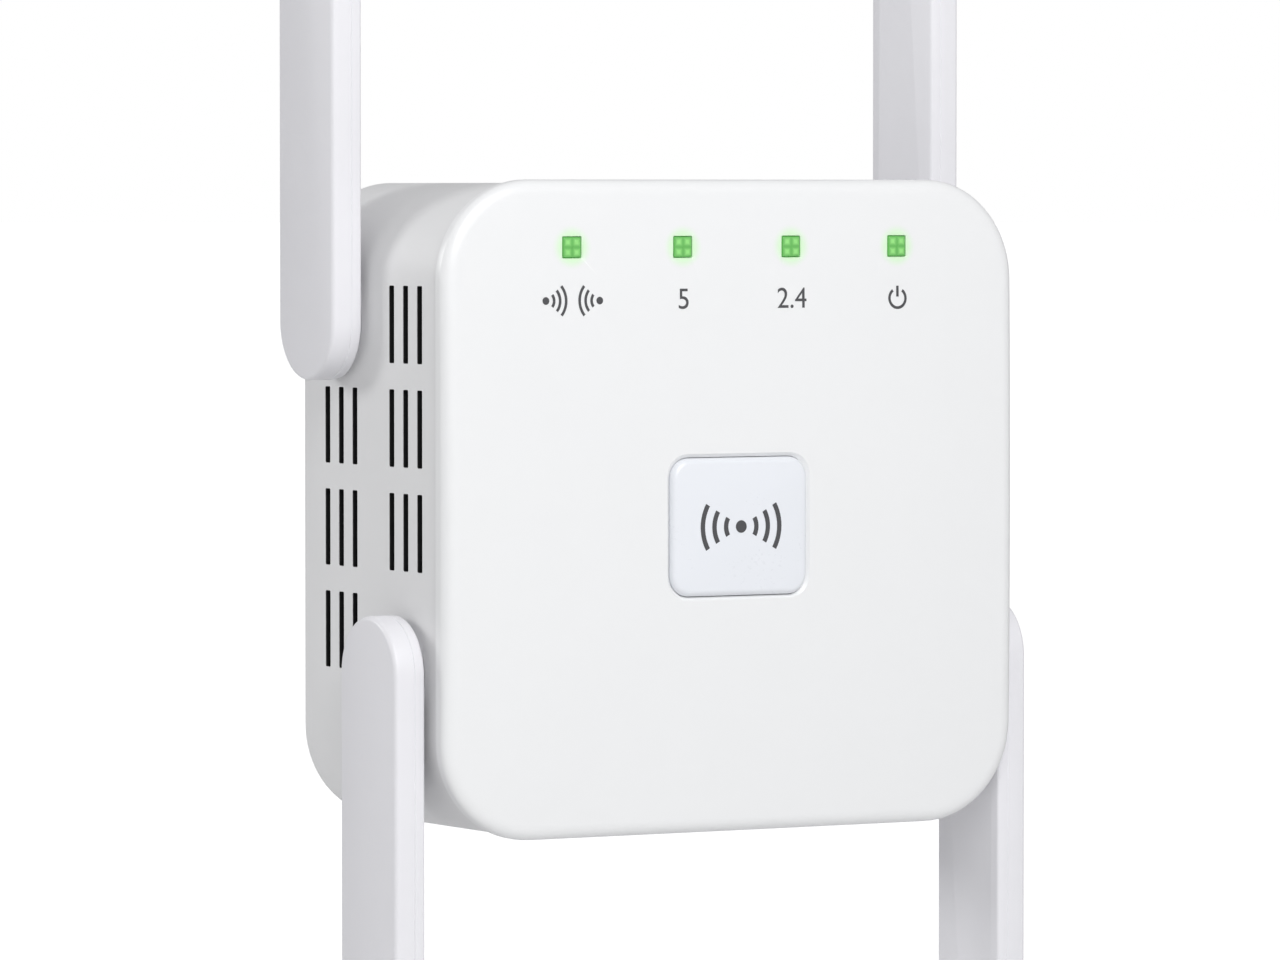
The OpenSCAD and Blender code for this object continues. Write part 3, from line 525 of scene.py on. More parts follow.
def metal(name, colour, roughness, streaks=(900, 60, 900)):
    material, tree, shader = new_material(name)
    surface = use_group(tree, BRUSHED, Colour=(*colour, 1), Roughness=roughness, Streaks=streaks)
    tree.links.new(surface.outputs["Colour"], shader.inputs["Base Color"])
    tree.links.new(surface.outputs["Roughness"], shader.inputs["Roughness"])
    shader.inputs["Metallic"].default_value = 1
    relief(tree, shader, surface.outputs["Height"], 0.002 * MM)
    return material


def board(name, base, track, roughness):
    """Circuit board: coated tracks and bare pads on a moulded-looking base."""
    material, tree, shader = new_material(name)
    surface = use_group(tree, MOULDED, Colour=(*base, 1), Tone=0.2, Roughness=roughness,
                        Gloss_spread=0.15, Grain_size=0.5)
    lines = use_group(tree, TRACKS, Pitch=1.7)
    tracked = blend(tree, lines.outputs["Track"], surface.outputs["Colour"], track)
    padded = blend(tree, lines.outputs["Pad"], tracked, SOLDER)
    tree.links.new(padded, shader.inputs["Base Color"])
    tree.links.new(surface.outputs["Roughness"], shader.inputs["Roughness"])
    fine = relief(tree, shader, surface.outputs["Height"], 0.01 * MM)
    relief(tree, shader, lines.outputs["Track"], 0.03 * MM, fine)
    return material


def paint_light_or_shade(tree, shader, mask, colour):
    """Paints light or shade into a material: changes its colour to another where the mask is 1."""
    paint = shader.inputs["Base Color"]
    tree.links.new(blend(tree, mask, paint.links[0].from_socket, colour), paint)


def window_distance(tree):
    """Distances from the middle of the nearest status light, across and up, in metres, as sockets."""
    place = node(tree, "ShaderNodeTexCoord").outputs["Object"]
    parts = node(tree, "ShaderNodeSeparateXYZ", {"Vector": place})
    step = maths(tree, "FLOOR", maths(tree, "DIVIDE", parts.outputs["X"], LIGHT_PITCH))
    step = maths(tree, "MAXIMUM", maths(tree, "MINIMUM", step, 1), -2)
    centre = maths(tree, "MULTIPLY", maths(tree, "ADD", step, 0.5), LIGHT_PITCH)
    across = maths(tree, "SUBTRACT", parts.outputs["X"], centre)
    up = maths(tree, "SUBTRACT", parts.outputs["Z"], LIGHT_Z)
    return maths(tree, "ABSOLUTE", across), maths(tree, "ABSOLUTE", up)


def cover_plastic():
    """White cover, with a faint green glow painted into its colour round the four windows."""
    material = plastic("white cover plastic", (0.83, 0.835, 0.84), 0.34, grain=0.5, depth=0.002,
                       tone=0.015, coat=0.2, wear=0.02)
    tree = material.node_tree
    shader = tree.nodes["Principled BSDF"]
    across, up = window_distance(tree)
    pair = node(tree, "ShaderNodeCombineXYZ", {"X": across, "Y": up})
    reach = node(tree, "ShaderNodeVectorMath", {0: pair.outputs[0]}, operation="LENGTH")
    glow = node(tree, "ShaderNodeMapRange", {"Value": reach.outputs["Value"]}, From_Min=2.9 * MM,
                From_Max=1.1 * MM, interpolation_type="SMOOTHERSTEP")
    # Painted light: the glow of the lit windows is painted green into the cover's colour round each one.
    paint_light_or_shade(tree, shader, glow.outputs[0], (0.66, 0.9, 0.6))
    return material


def housing_plastic(*named, **values):
    """Pale housing, with near-black painted shade down inside its vent slits."""
    material = plastic(*named, **values)
    tree = material.node_tree
    shader = tree.nodes["Principled BSDF"]
    place = node(tree, "ShaderNodeTexCoord").outputs["Object"]
    parts = node(tree, "ShaderNodeSeparateXYZ", {"Vector": place})
    across = maths(tree, "ABSOLUTE", parts.outputs["X"])
    sunk = node(tree, "ShaderNodeMapRange", {"Value": across},
                From_Min=HOUSING_HIGH.x - 0.03 * MM, From_Max=HOUSING_HIGH.x - 0.12 * MM)
    inner = node(tree, "ShaderNodeMapRange", {"Value": across},
                 From_Min=HOUSING_HIGH.x - WALL - 0.6 * MM, From_Max=HOUSING_HIGH.x - WALL - 0.3 * MM)
    up = maths(tree, "ABSOLUTE", parts.outputs["Z"])
    level = maths(tree, "LESS_THAN", up, row_z(0) + SLIT_LEN / 2 + 0.3 * MM)
    ahead = maths(tree, "LESS_THAN", parts.outputs["Y"], REAR_Y - WALL)
    # Painted shade: the walls down inside the vent slits are coloured near black, standing in for their
    # shadow.
    mask = sunk.outputs[0]
    for limit in (inner.outputs[0], level, ahead):
        mask = maths(tree, "MULTIPLY", mask, limit)
    paint_light_or_shade(tree, shader, mask, (0.012, 0.012, 0.013))
    return material


def lit_window():
    """Clear moulding lit green from behind, brighter in the middle of each quarter."""
    material = plastic("lit green window", (0.12, 0.36, 0.09), 0.25, grain=0.6, depth=0.004, coat=0.4)
    tree = material.node_tree
    shader = tree.nodes["Principled BSDF"]
    across, up = window_distance(tree)
    spots = [maths(tree, "ABSOLUTE", maths(tree, "SUBTRACT", way, LIGHT_SIDE / 4)) for way in (across, up)]
    bright = node(tree, "ShaderNodeMapRange", {"Value": maths(tree, "MAXIMUM", *spots)},
                  From_Min=0.5 * MM, From_Max=0.15 * MM)
    green = blend(tree, bright.outputs[0], (0.03, 0.16, 0.025), (0.24, 0.5, 0.17))
    tree.links.new(green, shader.inputs["Emission Color"])
    shader.inputs["Emission Strength"].default_value = 0.8
    return material


# ---------------------------------------------------------------- finishes

FINISHES = {
    "cover": cover_plastic(),
    "housing": housing_plastic("pale housing plastic", (0.79, 0.79, 0.795), 0.42, grain=0.3, depth=0.012),
    "antenna": plastic("pale antenna plastic", (0.8, 0.795, 0.825), 0.4, grain=0.3, depth=0.01),
    "plug": plastic("pale plug plastic", (0.72, 0.72, 0.73), 0.45, grain=0.4, depth=0.015),
    "button": plastic("white button plastic", (0.8, 0.82, 0.86), 0.3, grain=0.5, depth=0.002, coat=0.2,
                      tone=0.015),
    "light_guide": lit_window(),
    "led": plastic("clear diode resin", (0.7, 0.85, 0.62), 0.2, coat=0.5),
    "label": plastic("silver label film", (0.55, 0.56, 0.57), 0.35, grain=0.2, depth=0.003),
    "plated_brass": metal("nickel plated brass", (0.78, 0.76, 0.71), 0.2, streaks=(60, 1400, 60)),
    "screw_steel": metal("zinc plated steel", (0.6, 0.6, 0.62), 0.32),
    "tinned_steel": metal("tinned sheet steel", (0.68, 0.69, 0.7), 0.28),
    "heat_sink": metal("anodised aluminium", (0.62, 0.64, 0.67), 0.4, streaks=(900, 900, 60)),
    "gold": metal("gold plated contacts", (0.83, 0.62, 0.26), 0.24),
    "copper": metal("bare copper foil", (0.72, 0.4, 0.25), 0.3),
    "green_board": board("green coated board", (0.012, 0.11, 0.045), (0.03, 0.2, 0.08), 0.3),
    "tan_board": board("tan paper board", (0.45, 0.31, 0.13), (0.52, 0.4, 0.2), 0.5),
    "chip": plastic("chip epoxy", (0.02, 0.02, 0.022), 0.5, grain=0.15, depth=0.01, tone=0.3),
    "black_plastic": plastic("black plastic", (0.025, 0.025, 0.027), 0.4, grain=0.3, depth=0.01),
    "plunger": plastic("tan plunger plastic", (0.55, 0.47, 0.3), 0.45),
    "thermal_pad": plastic("silicone pad", (0.25, 0.3, 0.42), 0.7, grain=0.8, depth=0.04, tone=0.15),
    "ferrite": plastic("ferrite", (0.045, 0.045, 0.05), 0.55, grain=0.5, depth=0.04, tone=0.3),
    "winding_tape": plastic("yellow winding tape", (0.66, 0.5, 0.05), 0.3, grain=1.2, depth=0.02),
    "capacitor_sleeve": plastic("capacitor sleeve", (0.02, 0.04, 0.11), 0.25, grain=1.5, depth=0.01),
    "fuse_body": plastic("brown fuse body", (0.25, 0.1, 0.04), 0.25, grain=0.8, depth=0.01),
    "rubber": plastic("black washer rubber", (0.02, 0.02, 0.02), 0.75, grain=0.25, depth=0.03),
    "cable": plastic("black cable sheath", (0.02, 0.02, 0.021), 0.5, grain=0.2, depth=0.01),
}
PRINT = plastic("dark grey print", (0.07, 0.07, 0.075), 0.55, grain=0.12, depth=0.003, tone=0.2)

for part in frame["record"]["subparts"]:
    shown = frame["nodes"][part["node"]]
    shown.data.materials.clear()
    shown.data.materials.append(FINISHES[part["material_slot"]])


# ---------------------------------------------------------------- front cover

def rings_over(piece, shares):
    """Divides the front face into rings that follow its outline, towards its middle."""
    last = 1
    for share in shares:
        scale = share / last
        grow_face(piece, facing(Y, FRONT_Y), (0, 0, 0), (scale, 1, scale), (0, FRONT_Y, 0))
        last = share


def flared_cutter(name, x, z, size, radius, flare):
    """Cutter for a hole through the front whose rim slopes outwards by flare."""
    surface = FRONT_Y + dome_drop(x, z)
    start = surface + flare
    cutter = slab_at(name, x, z, size, start, SEAM_Y + 4 * MM, radius)
    grow_face(cutter, facing(Y, start), (0, -2 * flare, 0),
              (1 + 4 * flare / size.x, 1, 1 + 4 * flare / size.z), (x, start, z))
    return cutter


def light_places():
    return [((i - 1.5) * LIGHT_PITCH, LIGHT_Z) for i in range(4)]


def screw_places():
    return [(x * SCREW_AT.x, z * SCREW_AT.z) for x in (-1, 1) for z in (-1, 1)]


def make_cover():
    cover = slab("cover_shell", (COVER_LOW.x, FRONT_Y, COVER_LOW.z), (COVER_HIGH.x, SEAM_Y, COVER_HIGH.z),
                 CORNER_R, 20)
    edit(cover, "EDGE", lambda a, b: along(X)(a, b) or along(Z)(a, b))
    bpy.ops.mesh.subdivide(number_cuts=15)
    leave()
    round_edges(cover, rim(Y, FRONT_Y), COVER_ROUND, 8)
    rings_over(cover, [0.95 - 0.05 * i for i in range(18)])
    for v in cover.data.vertices:
        share = (SEAM_Y - v.co.y) / (SEAM_Y - FRONT_Y)
        v.co.y += share * dome_drop(v.co.x, v.co.z)
    inner = HOUSING_HIGH.x - WALL - PART_GAP
    tall = HOUSING_HIGH.z - WALL - PART_GAP
    inner_r = CORNER_R - SEAM_STEP - WALL - PART_GAP
    lip = slab("lip", (-inner, SEAM_Y - ROOTED, -tall), (inner, SEAM_Y + LIP_LEN, tall), inner_r)
    hollow(lip, facing(Y, SEAM_Y + LIP_LEN), LIP_T, (0, -LIP_LEN + PART_GAP, 0))
    round_edges(lip, rim(Y, SEAM_Y + LIP_LEN), 0.3 * MM, 2)
    unite(cover, lip)
    for x, z in screw_places():
        post_end = REAR_Y - WELL_DEPTH - WELL_FLOOR - PART_GAP
        unite(cover, rod("post", (x, SEAM_Y - 0.5 * MM, z), (x, post_end, z), POST_R))
        combine(cover, rod("post_bore", (x, SEAM_Y - PART_GAP, z), (x, REAR_Y - WELL_DEPTH, z),
                           POST_BORE_R, 24))
    hole = BUTTON_SIZE + ROUND_ABOUT * BUTTON_GAP
    collar_end = SEAM_Y + COLLAR_LEN
    collar = slab_at("collar", 0, BUTTON_Z, hole + ROUND_ABOUT * COLLAR_ROOM, SEAM_Y - ROOTED, collar_end,
                     BUTTON_R + 2 * MM)
    hollow(collar, facing(Y, collar_end), COLLAR_T, (0, PART_GAP - COLLAR_LEN, 0))
    unite(cover, collar)
    combine(cover, flared_cutter("button_hole", 0, BUTTON_Z, hole, BUTTON_R + BUTTON_GAP, BUTTON_GROOVE))
    window = LIGHT_SIZE + ROUND_ABOUT * PART_GAP
    for x, z in light_places():
        combine(cover, flared_cutter("window", x, z, window, LIGHT_CORNER, LIGHT_GROOVE))
    put(cover, "root", FINISHES["cover"], "cover", "front_cover")


def make_button():
    top = FRONT_Y - BUTTON_PROUD
    back = BEHIND_COVER_Y
    button = slab_at("button_cap", 0, BUTTON_Z, BUTTON_SIZE, top, back, BUTTON_R, 10)
    round_edges(button, rim(Y, top), BUTTON_ROUND, 5)
    for share in (0.8, 0.55, 0.3):
        grow_face(button, facing(Y, top), (0, 0, 0), (share, 1, share), (0, top, BUTTON_Z))
    over_dome(button, back - TINY)
    flange = slab_at("flange", 0, BUTTON_Z, BUTTON_SIZE + ROUND_ABOUT * BUTTON_FLANGE, back,
                     back + 1 * MM, BUTTON_R + BUTTON_FLANGE)
    unite(button, flange)
    stem = rod("stem", (0, back + 0.5 * MM, BUTTON_Z), (0, BUTTON_END_Y, BUTTON_Z), STEM_R, 32)
    round_edges(stem, rim(Y, BUTTON_END_Y), 0.3 * MM, 2)
    unite(button, stem)
    put(button, "button", FINISHES["button"], "button", "pairing_button")


def make_light_guide():
    low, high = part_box("light_guides")
    guide = slab("light_guide", (low.x, BEHIND_COVER_Y, LIGHT_Z - GUIDE_HALF),
                 (high.x, BEHIND_COVER_Y + GUIDE_T, LIGHT_Z + GUIDE_HALF), 0.6 * MM, 3)
    for x, z in light_places():
        front = FRONT_Y + dome_drop(x, z) - LIGHT_PROUD
        window = slab_at("window", x, z, LIGHT_SIZE, front, high.y, LIGHT_CORNER, 3)
        round_edges(window, rim(Y, front), 0.2 * MM, 3)
        unite(guide, window)
    put(guide, "root", FINISHES["light_guide"], "light_guide", "light_guides")


# ---------------------------------------------------------------- printed marks

def arc(x, z, radius, start, sweep, width, y):
    """Flat arc: a circle drawn out to the line's width, less the part outside the sweep. Angles in
    degrees, anticlockwise from the right."""
    bpy.ops.object.select_all(action="DESELECT")
    bpy.ops.mesh.primitive_circle_add(vertices=72, radius=radius - width / 2, location=(x, y, z),
                                      rotation=(math.pi / 2, 0, 0))
    piece = settled("arc")
    edit(piece, "EDGE", lambda a, b: True)
    bpy.ops.mesh.extrude_region_move()
    grow = (radius + width / 2) / (radius - width / 2)
    bpy.ops.transform.resize(value=(grow, 1, grow), center_override=(x, y, z))
    leave()

    def outside(centre, normal):
        angle = math.degrees(math.atan2(centre.z - z, centre.x - x))
        return (angle - start) % 360 > sweep

    edit(piece, "FACE", outside)
    bpy.ops.mesh.delete(type="FACE")
    leave()
    return piece


def disc(x, z, radius, y):
    bpy.ops.object.select_all(action="DESELECT")
    bpy.ops.mesh.primitive_circle_add(vertices=32, radius=radius, fill_type="NGON", location=(x, y, z),
                                      rotation=(math.pi / 2, 0, 0))
    return settled("disc")


def strip(x, z, width, height, y):
    bpy.ops.object.select_all(action="DESELECT")
    bpy.ops.mesh.primitive_plane_add(size=1, location=(x, y, z), rotation=(math.pi / 2, 0, 0))
    bpy.context.object.scale = (width, height, 1)
    return settled("strip")


def numeral(text, x, z, height, y):
    bpy.ops.object.select_all(action="DESELECT")
    bpy.ops.object.text_add(location=(x, y, z), rotation=(math.pi / 2, 0, 0))
    label = bpy.context.object
    label.data.body = text
    label.data.size = height * 1.4
    label.data.align_x = "CENTER"
    label.data.align_y = "CENTER"
    only(label)
    bpy.ops.object.convert(target="MESH")
    return settled("numeral")


def inked(name, marks):
    """Joins flat marks and gives them the thickness of ink."""
    ink = joined(name, marks)
    edit_all(ink)
    bpy.ops.mesh.remove_doubles(threshold=0.002 * MM)
    bpy.ops.mesh.quads_convert_to_tris()
    bpy.ops.mesh.extrude_region_move(TRANSFORM_OT_translate={"value": (0, -INK, 0)})
    bpy.ops.mesh.select_all(action="SELECT")
    bpy.ops.mesh.normals_make_consistent(inside=False)
    leave()
    return ink


def waves(x, z, radii, heading, spread, width, y):
    """Arcs of one centre that open towards a heading and its neighbours within half the spread."""
    return [arc(x, z, r * MM, heading - spread / 2, spread, width, y) for r in radii]


def make_prints():
    y = FRONT_Y - 0.005 * MM
    z = LIGHT_Z - 6.3 * MM
    thin, wide = 0.34 * MM, 0.6 * MM
    digit_tall = 2.5 * MM
    apart = 3.6 * MM
    link_x, five_x, two_x, power_x = [x for x, _ in light_places()]
    marks = []
    for side, heading in ((-1, 0), (1, 180)):
        marks.append(disc(link_x + side * apart, z, 0.45 * MM, y))
        marks += waves(link_x + side * apart, z, (1.1, 1.9, 2.7), heading, 76, thin, y)
    marks += [numeral("5", five_x, z, digit_tall, y), numeral("2.4", two_x, z, digit_tall, y)]
    marks.append(arc(power_x, z, 1.15 * MM, 125, 290, thin, y))
    marks.append(strip(power_x, z + 0.85 * MM, thin, 1.3 * MM, y))
    row = inked("indicator_marks", marks)
    over_dome(row)
    put(row, "root", PRINT, "cover")
    y -= BUTTON_PROUD
    marks = [disc(0, BUTTON_Z, 0.75 * MM, y)]
    for heading in (0, 180):
        marks += waves(0, BUTTON_Z, (2.1, 3.7, 5.3), heading, 60, wide, y)
    call = inked("button_mark", marks)
    over_dome(call)
    put(call, "button", PRINT, "button")


# ---------------------------------------------------------------- rear housing

def vent_places():
    """Centre of every slit of one side: the rear column skips the top row, the front column the bottom."""
    rear = [(REAR_VENT_Y, row_z(row)) for row in (1, 2, 3)]
    front = [(FRONT_VENT_Y, row_z(row)) for row in (0, 1, 2)]
    return [(y - i * SLIT_PITCH, z) for y, z in rear + front for i in (-1, 0, 1)]


def vent_cutters():
    """One slit's cutter, with a sloped outer rim, copied to every slit of both sides."""
    outer = HOUSING_HIGH.x
    slope = 0.04 * MM
    first = block("slit", (outer - WALL - CLEAR, -SLIT_W / 2, -SLIT_LEN / 2),
                  (outer - slope, SLIT_W / 2, SLIT_LEN / 2))
    round_edges(first, along(X), 0.2 * MM, 2)
    grow_face(first, facing(X, outer - slope), (2 * slope, 0, 0),
              (1, 1 + 4 * slope / SLIT_W, 1 + 4 * slope / SLIT_LEN), (outer - slope, 0, 0))
    cutters = [copied(first, "slit", turned_to(side, 1) @ Matrix.Translation((0, y, z)))
               for side in (-1, 1) for y, z in vent_places()]
    bpy.data.objects.remove(first)
    return joined("slits", cutters)


def hinge_place(height):
    """Depth and height of a hinge's axis, in the middle of the blade's round end."""
    low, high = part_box(f"{height}_right_antenna_outer_shell")
    half = (high.y - low.y) / 2
    return (low.y + high.y) / 2, {"upper": low.z + half, "lower": high.z - half}[height]


def flat_sided_rod(name, y0, y1, radius, flats):
    """Round bar along the depth, cut flat above and below."""
    piece = rod(name, (0, y0, 0), (0, y1, 0), radius, 96)
    for way in (-1, 1):
        edit_all(piece)
        bpy.ops.mesh.bisect(plane_co=(0, 0, way * flats / 2), plane_no=(0, 0, way), use_fill=True,
                            clear_outer=True)
        leave()
    return piece


def make_housing():
    corner = CORNER_R - SEAM_STEP
    housing = slab("housing_shell", HOUSING_LOW, (HOUSING_HIGH.x, REAR_Y, HOUSING_HIGH.z), corner, 20)
    round_edges(housing, rim(Y, REAR_Y), 1 * MM, 5)
    hollow(housing, facing(Y, SEAM_Y), WALL, (0, REAR_Y - WALL - SEAM_Y, 0))
    floor_y = REAR_Y - WELL_DEPTH
    for x, z in screw_places():
        unite(housing, rod("well", (x, REAR_Y - WALL / 2, z), (x, floor_y - WELL_FLOOR, z),
                           WELL_OUTER_R, 40))
        combine(housing, rod("well_hole", (x, REAR_Y + CLEAR, z), (x, floor_y, z), WELL_R, 40))
        combine(housing, rod("screw_hole", (x, floor_y + CLEAR, z), (x, floor_y - WELL_FLOOR - CLEAR, z),
                             SCREW_HOLE_R, 24))
    combine(housing, vent_cutters())
    for height in HEIGHTS:
        y, z = hinge_place(height)
        for side in (-1, 1):
            combine(housing, rod("hinge_hole", (side * (HOUSING_HIGH.x - WALL - CLEAR), y, z),
                                 (side * (HOUSING_HIGH.x + CLEAR), y, z), HINGE_R + RUNNING_GAP))
    combine(housing, flat_sided_rod("plug_hole", REAR_Y + CLEAR, REAR_Y - WALL - CLEAR, PLUG_R + PART_GAP,
                                    PLUG_FLATS + 2 * PART_GAP))
    low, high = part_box("ethernet_jack_shell")
    through = WALL + CLEAR
    combine(housing, block("socket_hole", (low.x - PART_GAP, low.y - PART_GAP, low.z - CLEAR),
                           (high.x + PART_GAP, high.y + PART_GAP, low.z + through)))
    low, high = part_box("reset_switch_plunger")
    x, y = (low.x + high.x) / 2, (low.y + high.y) / 2
    combine(housing, rod("pinhole", (x, y, HOUSING_LOW.z - CLEAR), (x, y, HOUSING_LOW.z + through),
                         PINHOLE_R, 24))
    low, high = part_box("rating_label")
    combine(housing, slab("label_recess", (low.x - PART_GAP, REAR_Y - LABEL_DEPTH, low.z - PART_GAP),
                          (high.x + PART_GAP, REAR_Y + CLEAR, high.z + PART_GAP), LABEL_R, 5))
    put(housing, "root", FINISHES["housing"], "housing", "rear_housing")


def make_label():
    """Blank rating label with a ruled border and dividing lines."""
    low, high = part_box("rating_label")
    label = slab("label_film", low, high, LABEL_R - PART_GAP, 5)
    round_edges(label, rim(Y, high.y), 0.06 * MM, 2)
    put(label, "root", FINISHES["label"], "label", "rating_label")
    middle, half = (low + high) / 2, (high - low) / 2
    y = high.y + INK
    rule = 0.18 * MM
    inset = 1 * MM
    marks = []
    for side in (-1, 1):
        marks.append(strip(middle.x, middle.z + side * (half.z - inset), 2 * (half.x - inset), rule, y))
        marks.append(strip(middle.x + side * (half.x - inset), middle.z, rule, 2 * (half.z - inset), y))
    for share in (-0.45, 0.1):
        marks.append(strip(middle.x + share * half.x, middle.z, rule, 2 * (half.z - inset), y))
    for share in (-0.35, 0, 0.35):
        marks.append(strip(middle.x + 0.53 * half.x, middle.z + share * half.z, half.x * 0.6, rule, y))
    put(inked("label_rules", marks), "root", PRINT, "label")


# ---------------------------------------------------------------- mains plug

def make_plug():
    base = flat_sided_rod("plug_body", 0, PLUG_FLANGE_Y - 1 * MM, PLUG_R, PLUG_FLATS)
    round_edges(base, rim(Y, 0), 1.2 * MM, 5)
    flange = rod("flange", (0, PLUG_FLANGE_Y, 0), (0, BOSS_END_Y, 0), PLUG_R + PLUG_FLANGE, 96)
    unite(base, flange)
    combine(base, flat_sided_rod("core", -3 * MM, BOSS_END_Y - CLEAR, PLUG_R - PLUG_WALL,
                                 PLUG_FLATS - 2 * PLUG_WALL))
    shank_r = PIN_R - 0.4 * MM
    boss_y = -2 * MM
    for x in (-PIN_X, PIN_X):
        unite(base, rod("boss", (x, boss_y, 0), (x, BOSS_END_Y, 0), PIN_R + BOSS_WALL, 40))
        combine(base, rod("bore", (x, CLEAR, 0), (x, BOSS_END_Y - CLEAR, 0), shank_r + 0.02 * MM, 40))
        combine(base, rod("relief", (x, CLEAR, 0), (x, -PIN_RELIEF, 0), PIN_R + PART_GAP, 40))
    unite(base, rod("earth_boss", (0, boss_y, EARTH_HOLE_Z),
                    (0, -EARTH_HOLE_LEN - EARTH_WALL, EARTH_HOLE_Z), EARTH_HOLE_R + EARTH_WALL, 40))
    slope = 0.4 * MM
    drill = rod("earth_hole", (0, -slope, EARTH_HOLE_Z), (0, -EARTH_HOLE_LEN, EARTH_HOLE_Z),
                EARTH_HOLE_R, 40)
    grow = 1 + 2 * slope / EARTH_HOLE_R
    grow_face(drill, facing(Y, -slope), (0, 2 * slope, 0), (grow, 1, grow), (0, 0, EARTH_HOLE_Z))
    combine(base, drill)
    put(base, "root", FINISHES["plug"], "plug", "plug_base")
    for name, x in (("left", -PIN_X), ("right", PIN_X)):
        node_name = f"{name}_plug_pin"
        low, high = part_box(node_name)
        pin = rod(f"{name}_pin", (x, 0, 0), (x, high.y, 0), PIN_R)
        round_edges(pin, rim(Y, high.y), PIN_R * 0.6, 6)
        round_edges(pin, rim(Y, 0), 0.15 * MM, 2)
        unite(pin, rod("shank", (x, 0.5 * MM, 0), (x, BOSS_END_Y, 0), shank_r, 32))
        unite(pin, rod("collar", (x, BOSS_END_Y, 0), (x, BOSS_END_Y - 1 * MM, 0), PIN_R + 0.9 * MM))
        unite(pin, rod("tail", (x, BOSS_END_Y - 0.5 * MM, 0), (x, low.y, 0), 1.5 * MM, 32))
        put(pin, "root", FINISHES["plated_brass"], "plated_brass", node_name)


# ---------------------------------------------------------------- network socket

def make_socket():
    low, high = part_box("ethernet_jack_shell")
    sheet = 0.3 * MM
    shell = block("socket_shell", low, high)
    round_edges(shell, along(Z), 0.5 * MM, 3)
    hollow(shell, facing(Z, low.z), sheet, (0, 0, high.z - low.z - sheet))
    middle = (low + high) / 2
    spring_half = Vector((0.25, 1.5, 2.5)) * MM
    for side in (-1, 1):
        spring_at = Vector((side * (high.x - sheet), middle.y, low.z + 3.5 * MM))
        spring = block("spring", spring_at - spring_half, spring_at + spring_half)
        round_edges(spring, along(Y), 0.2 * MM, 2)
        unite(shell, spring)
    put(shell, "root", FINISHES["tinned_steel"], "tinned_steel", "ethernet_jack_shell")
    low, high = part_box("ethernet_jack_insert")
    insert = block("socket_insert", low, high)
    port_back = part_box("ethernet_contacts")[0].y - 0.3 * MM
    port_front = port_back + 7 * MM
    port_half, latch_half, rib_half = 5.9 * MM, 3.1 * MM, 0.15 * MM
    port_depth, latch_depth = 14 * MM, 10 * MM
    slope = 0.3 * MM
    mouth = low.z
    port = block("port", (-port_half, port_back, mouth + slope),
                 (port_half, port_front, mouth + port_depth))
    grow_face(port, facing(Z, mouth + slope), (0, 0, -2 * slope), (1.1, 1.17, 1),
              (0, (port_back + port_front) / 2, mouth))
    combine(insert, port)
    combine(insert, block("latch", (-latch_half, port_front - 1 * MM, mouth - CLEAR),
                          (latch_half, port_front + 1.8 * MM, mouth + latch_depth)))
    for i in range(-3, 4):
        x = i * CONTACT_PITCH
        unite(insert, block("rib", (x - rib_half, port_back - 0.2 * MM, mouth + 2 * MM),
                            (x + rib_half, port_back + 0.45 * MM, mouth + port_depth - PART_GAP)))
    put(insert, "root", FINISHES["black_plastic"], "black_plastic", "ethernet_jack_insert")


# ---------------------------------------------------------------- antennas

def blade(name, low, high):
    """Flat bar that is round at the hinge, with small round corners at the tip."""
    piece = block(name, low, high)
    half = (high.y - low.y) / 2
    lowest = lambda a, b: along(X)(a, b) and rim(Z, low.z)(a, b)
    round_edges(piece, lowest, half - 0.02 * MM, 24)
    tip = lambda a, b: along(X)(a, b) and rim(Z, high.z)(a, b)
    round_edges(piece, tip, TIP_R, 8)
    return piece


def make_right_upper_shells():
    """The two shells of the upper right antenna, still without a body."""
    low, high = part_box("upper_right_antenna_outer_shell")
    hinge = Vector((0, (low.y + high.y) / 2, low.z + (high.y - low.y) / 2))
    outer = blade("outer", low, high)
    round_edges(outer, rim(X, high.x), 0.55 * MM, 4)
    round_edges(outer, rim(X, low.x), 0.1 * MM, 1)
    hollow(outer, facing(X, low.x), 1 * MM, (1.5 * MM, 0, 0))
    inner_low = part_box("upper_right_antenna_inner_shell")[0]
    face = low.x - INNER_SHELL_T
    inner = blade("inner", Vector((face, low.y, low.z)), Vector((low.x, high.y, high.z)))
    round_edges(inner, rim(X, face), 0.4 * MM, 3)
    round_edges(inner, rim(X, low.x), 0.1 * MM, 1)

    def across(x0, x1, radius, sides=64):
        return rod("turned", (x0, hinge.y, hinge.z), (x1, hinge.y, hinge.z), radius, sides)

    unite(inner, across(face - SEAT_T, face + 0.5 * MM, SEAT_R))
    unite(inner, across(inner_low.x, face + 0.6 * MM, HINGE_R))
    combine(inner, across(inner_low.x - CLEAR, low.x + CLEAR, CABLE_HOLE_R, 32))
    clip_low, clip_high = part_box("upper_right_antenna_retaining_clip")
    groove = across(clip_low.x - PART_GAP, clip_high.x + RUNNING_GAP, HINGE_R + CLEAR)
    combine(groove, across(clip_low.x - CLEAR, clip_high.x + CLEAR, HINGE_R - 0.5 * MM))
    combine(inner, groove)
    return outer, inner, hinge


def make_antennas():
    outer, inner, hinge = make_right_upper_shells()
    for height, up in HEIGHTS.items():
        y, z = hinge_place(height)
        to_hinge = Matrix.Translation((0, y, z)) @ turned_to(1, up) @ Matrix.Translation(-hinge)
        for side, way in SIDES.items():
            antenna = f"{height}_{side}_antenna"
            for pattern, part in ((outer, "outer_shell"), (inner, "inner_shell")):
                shell = copied(pattern, f"{antenna}_{part}_detailed", turned_to(way, 1) @ to_hinge)
                put(shell, antenna, FINISHES["antenna"], "antenna", f"{antenna}_{part}")
    bpy.data.objects.remove(outer)
    bpy.data.objects.remove(inner)


# ---------------------------------------------------------------- stage, light and camera

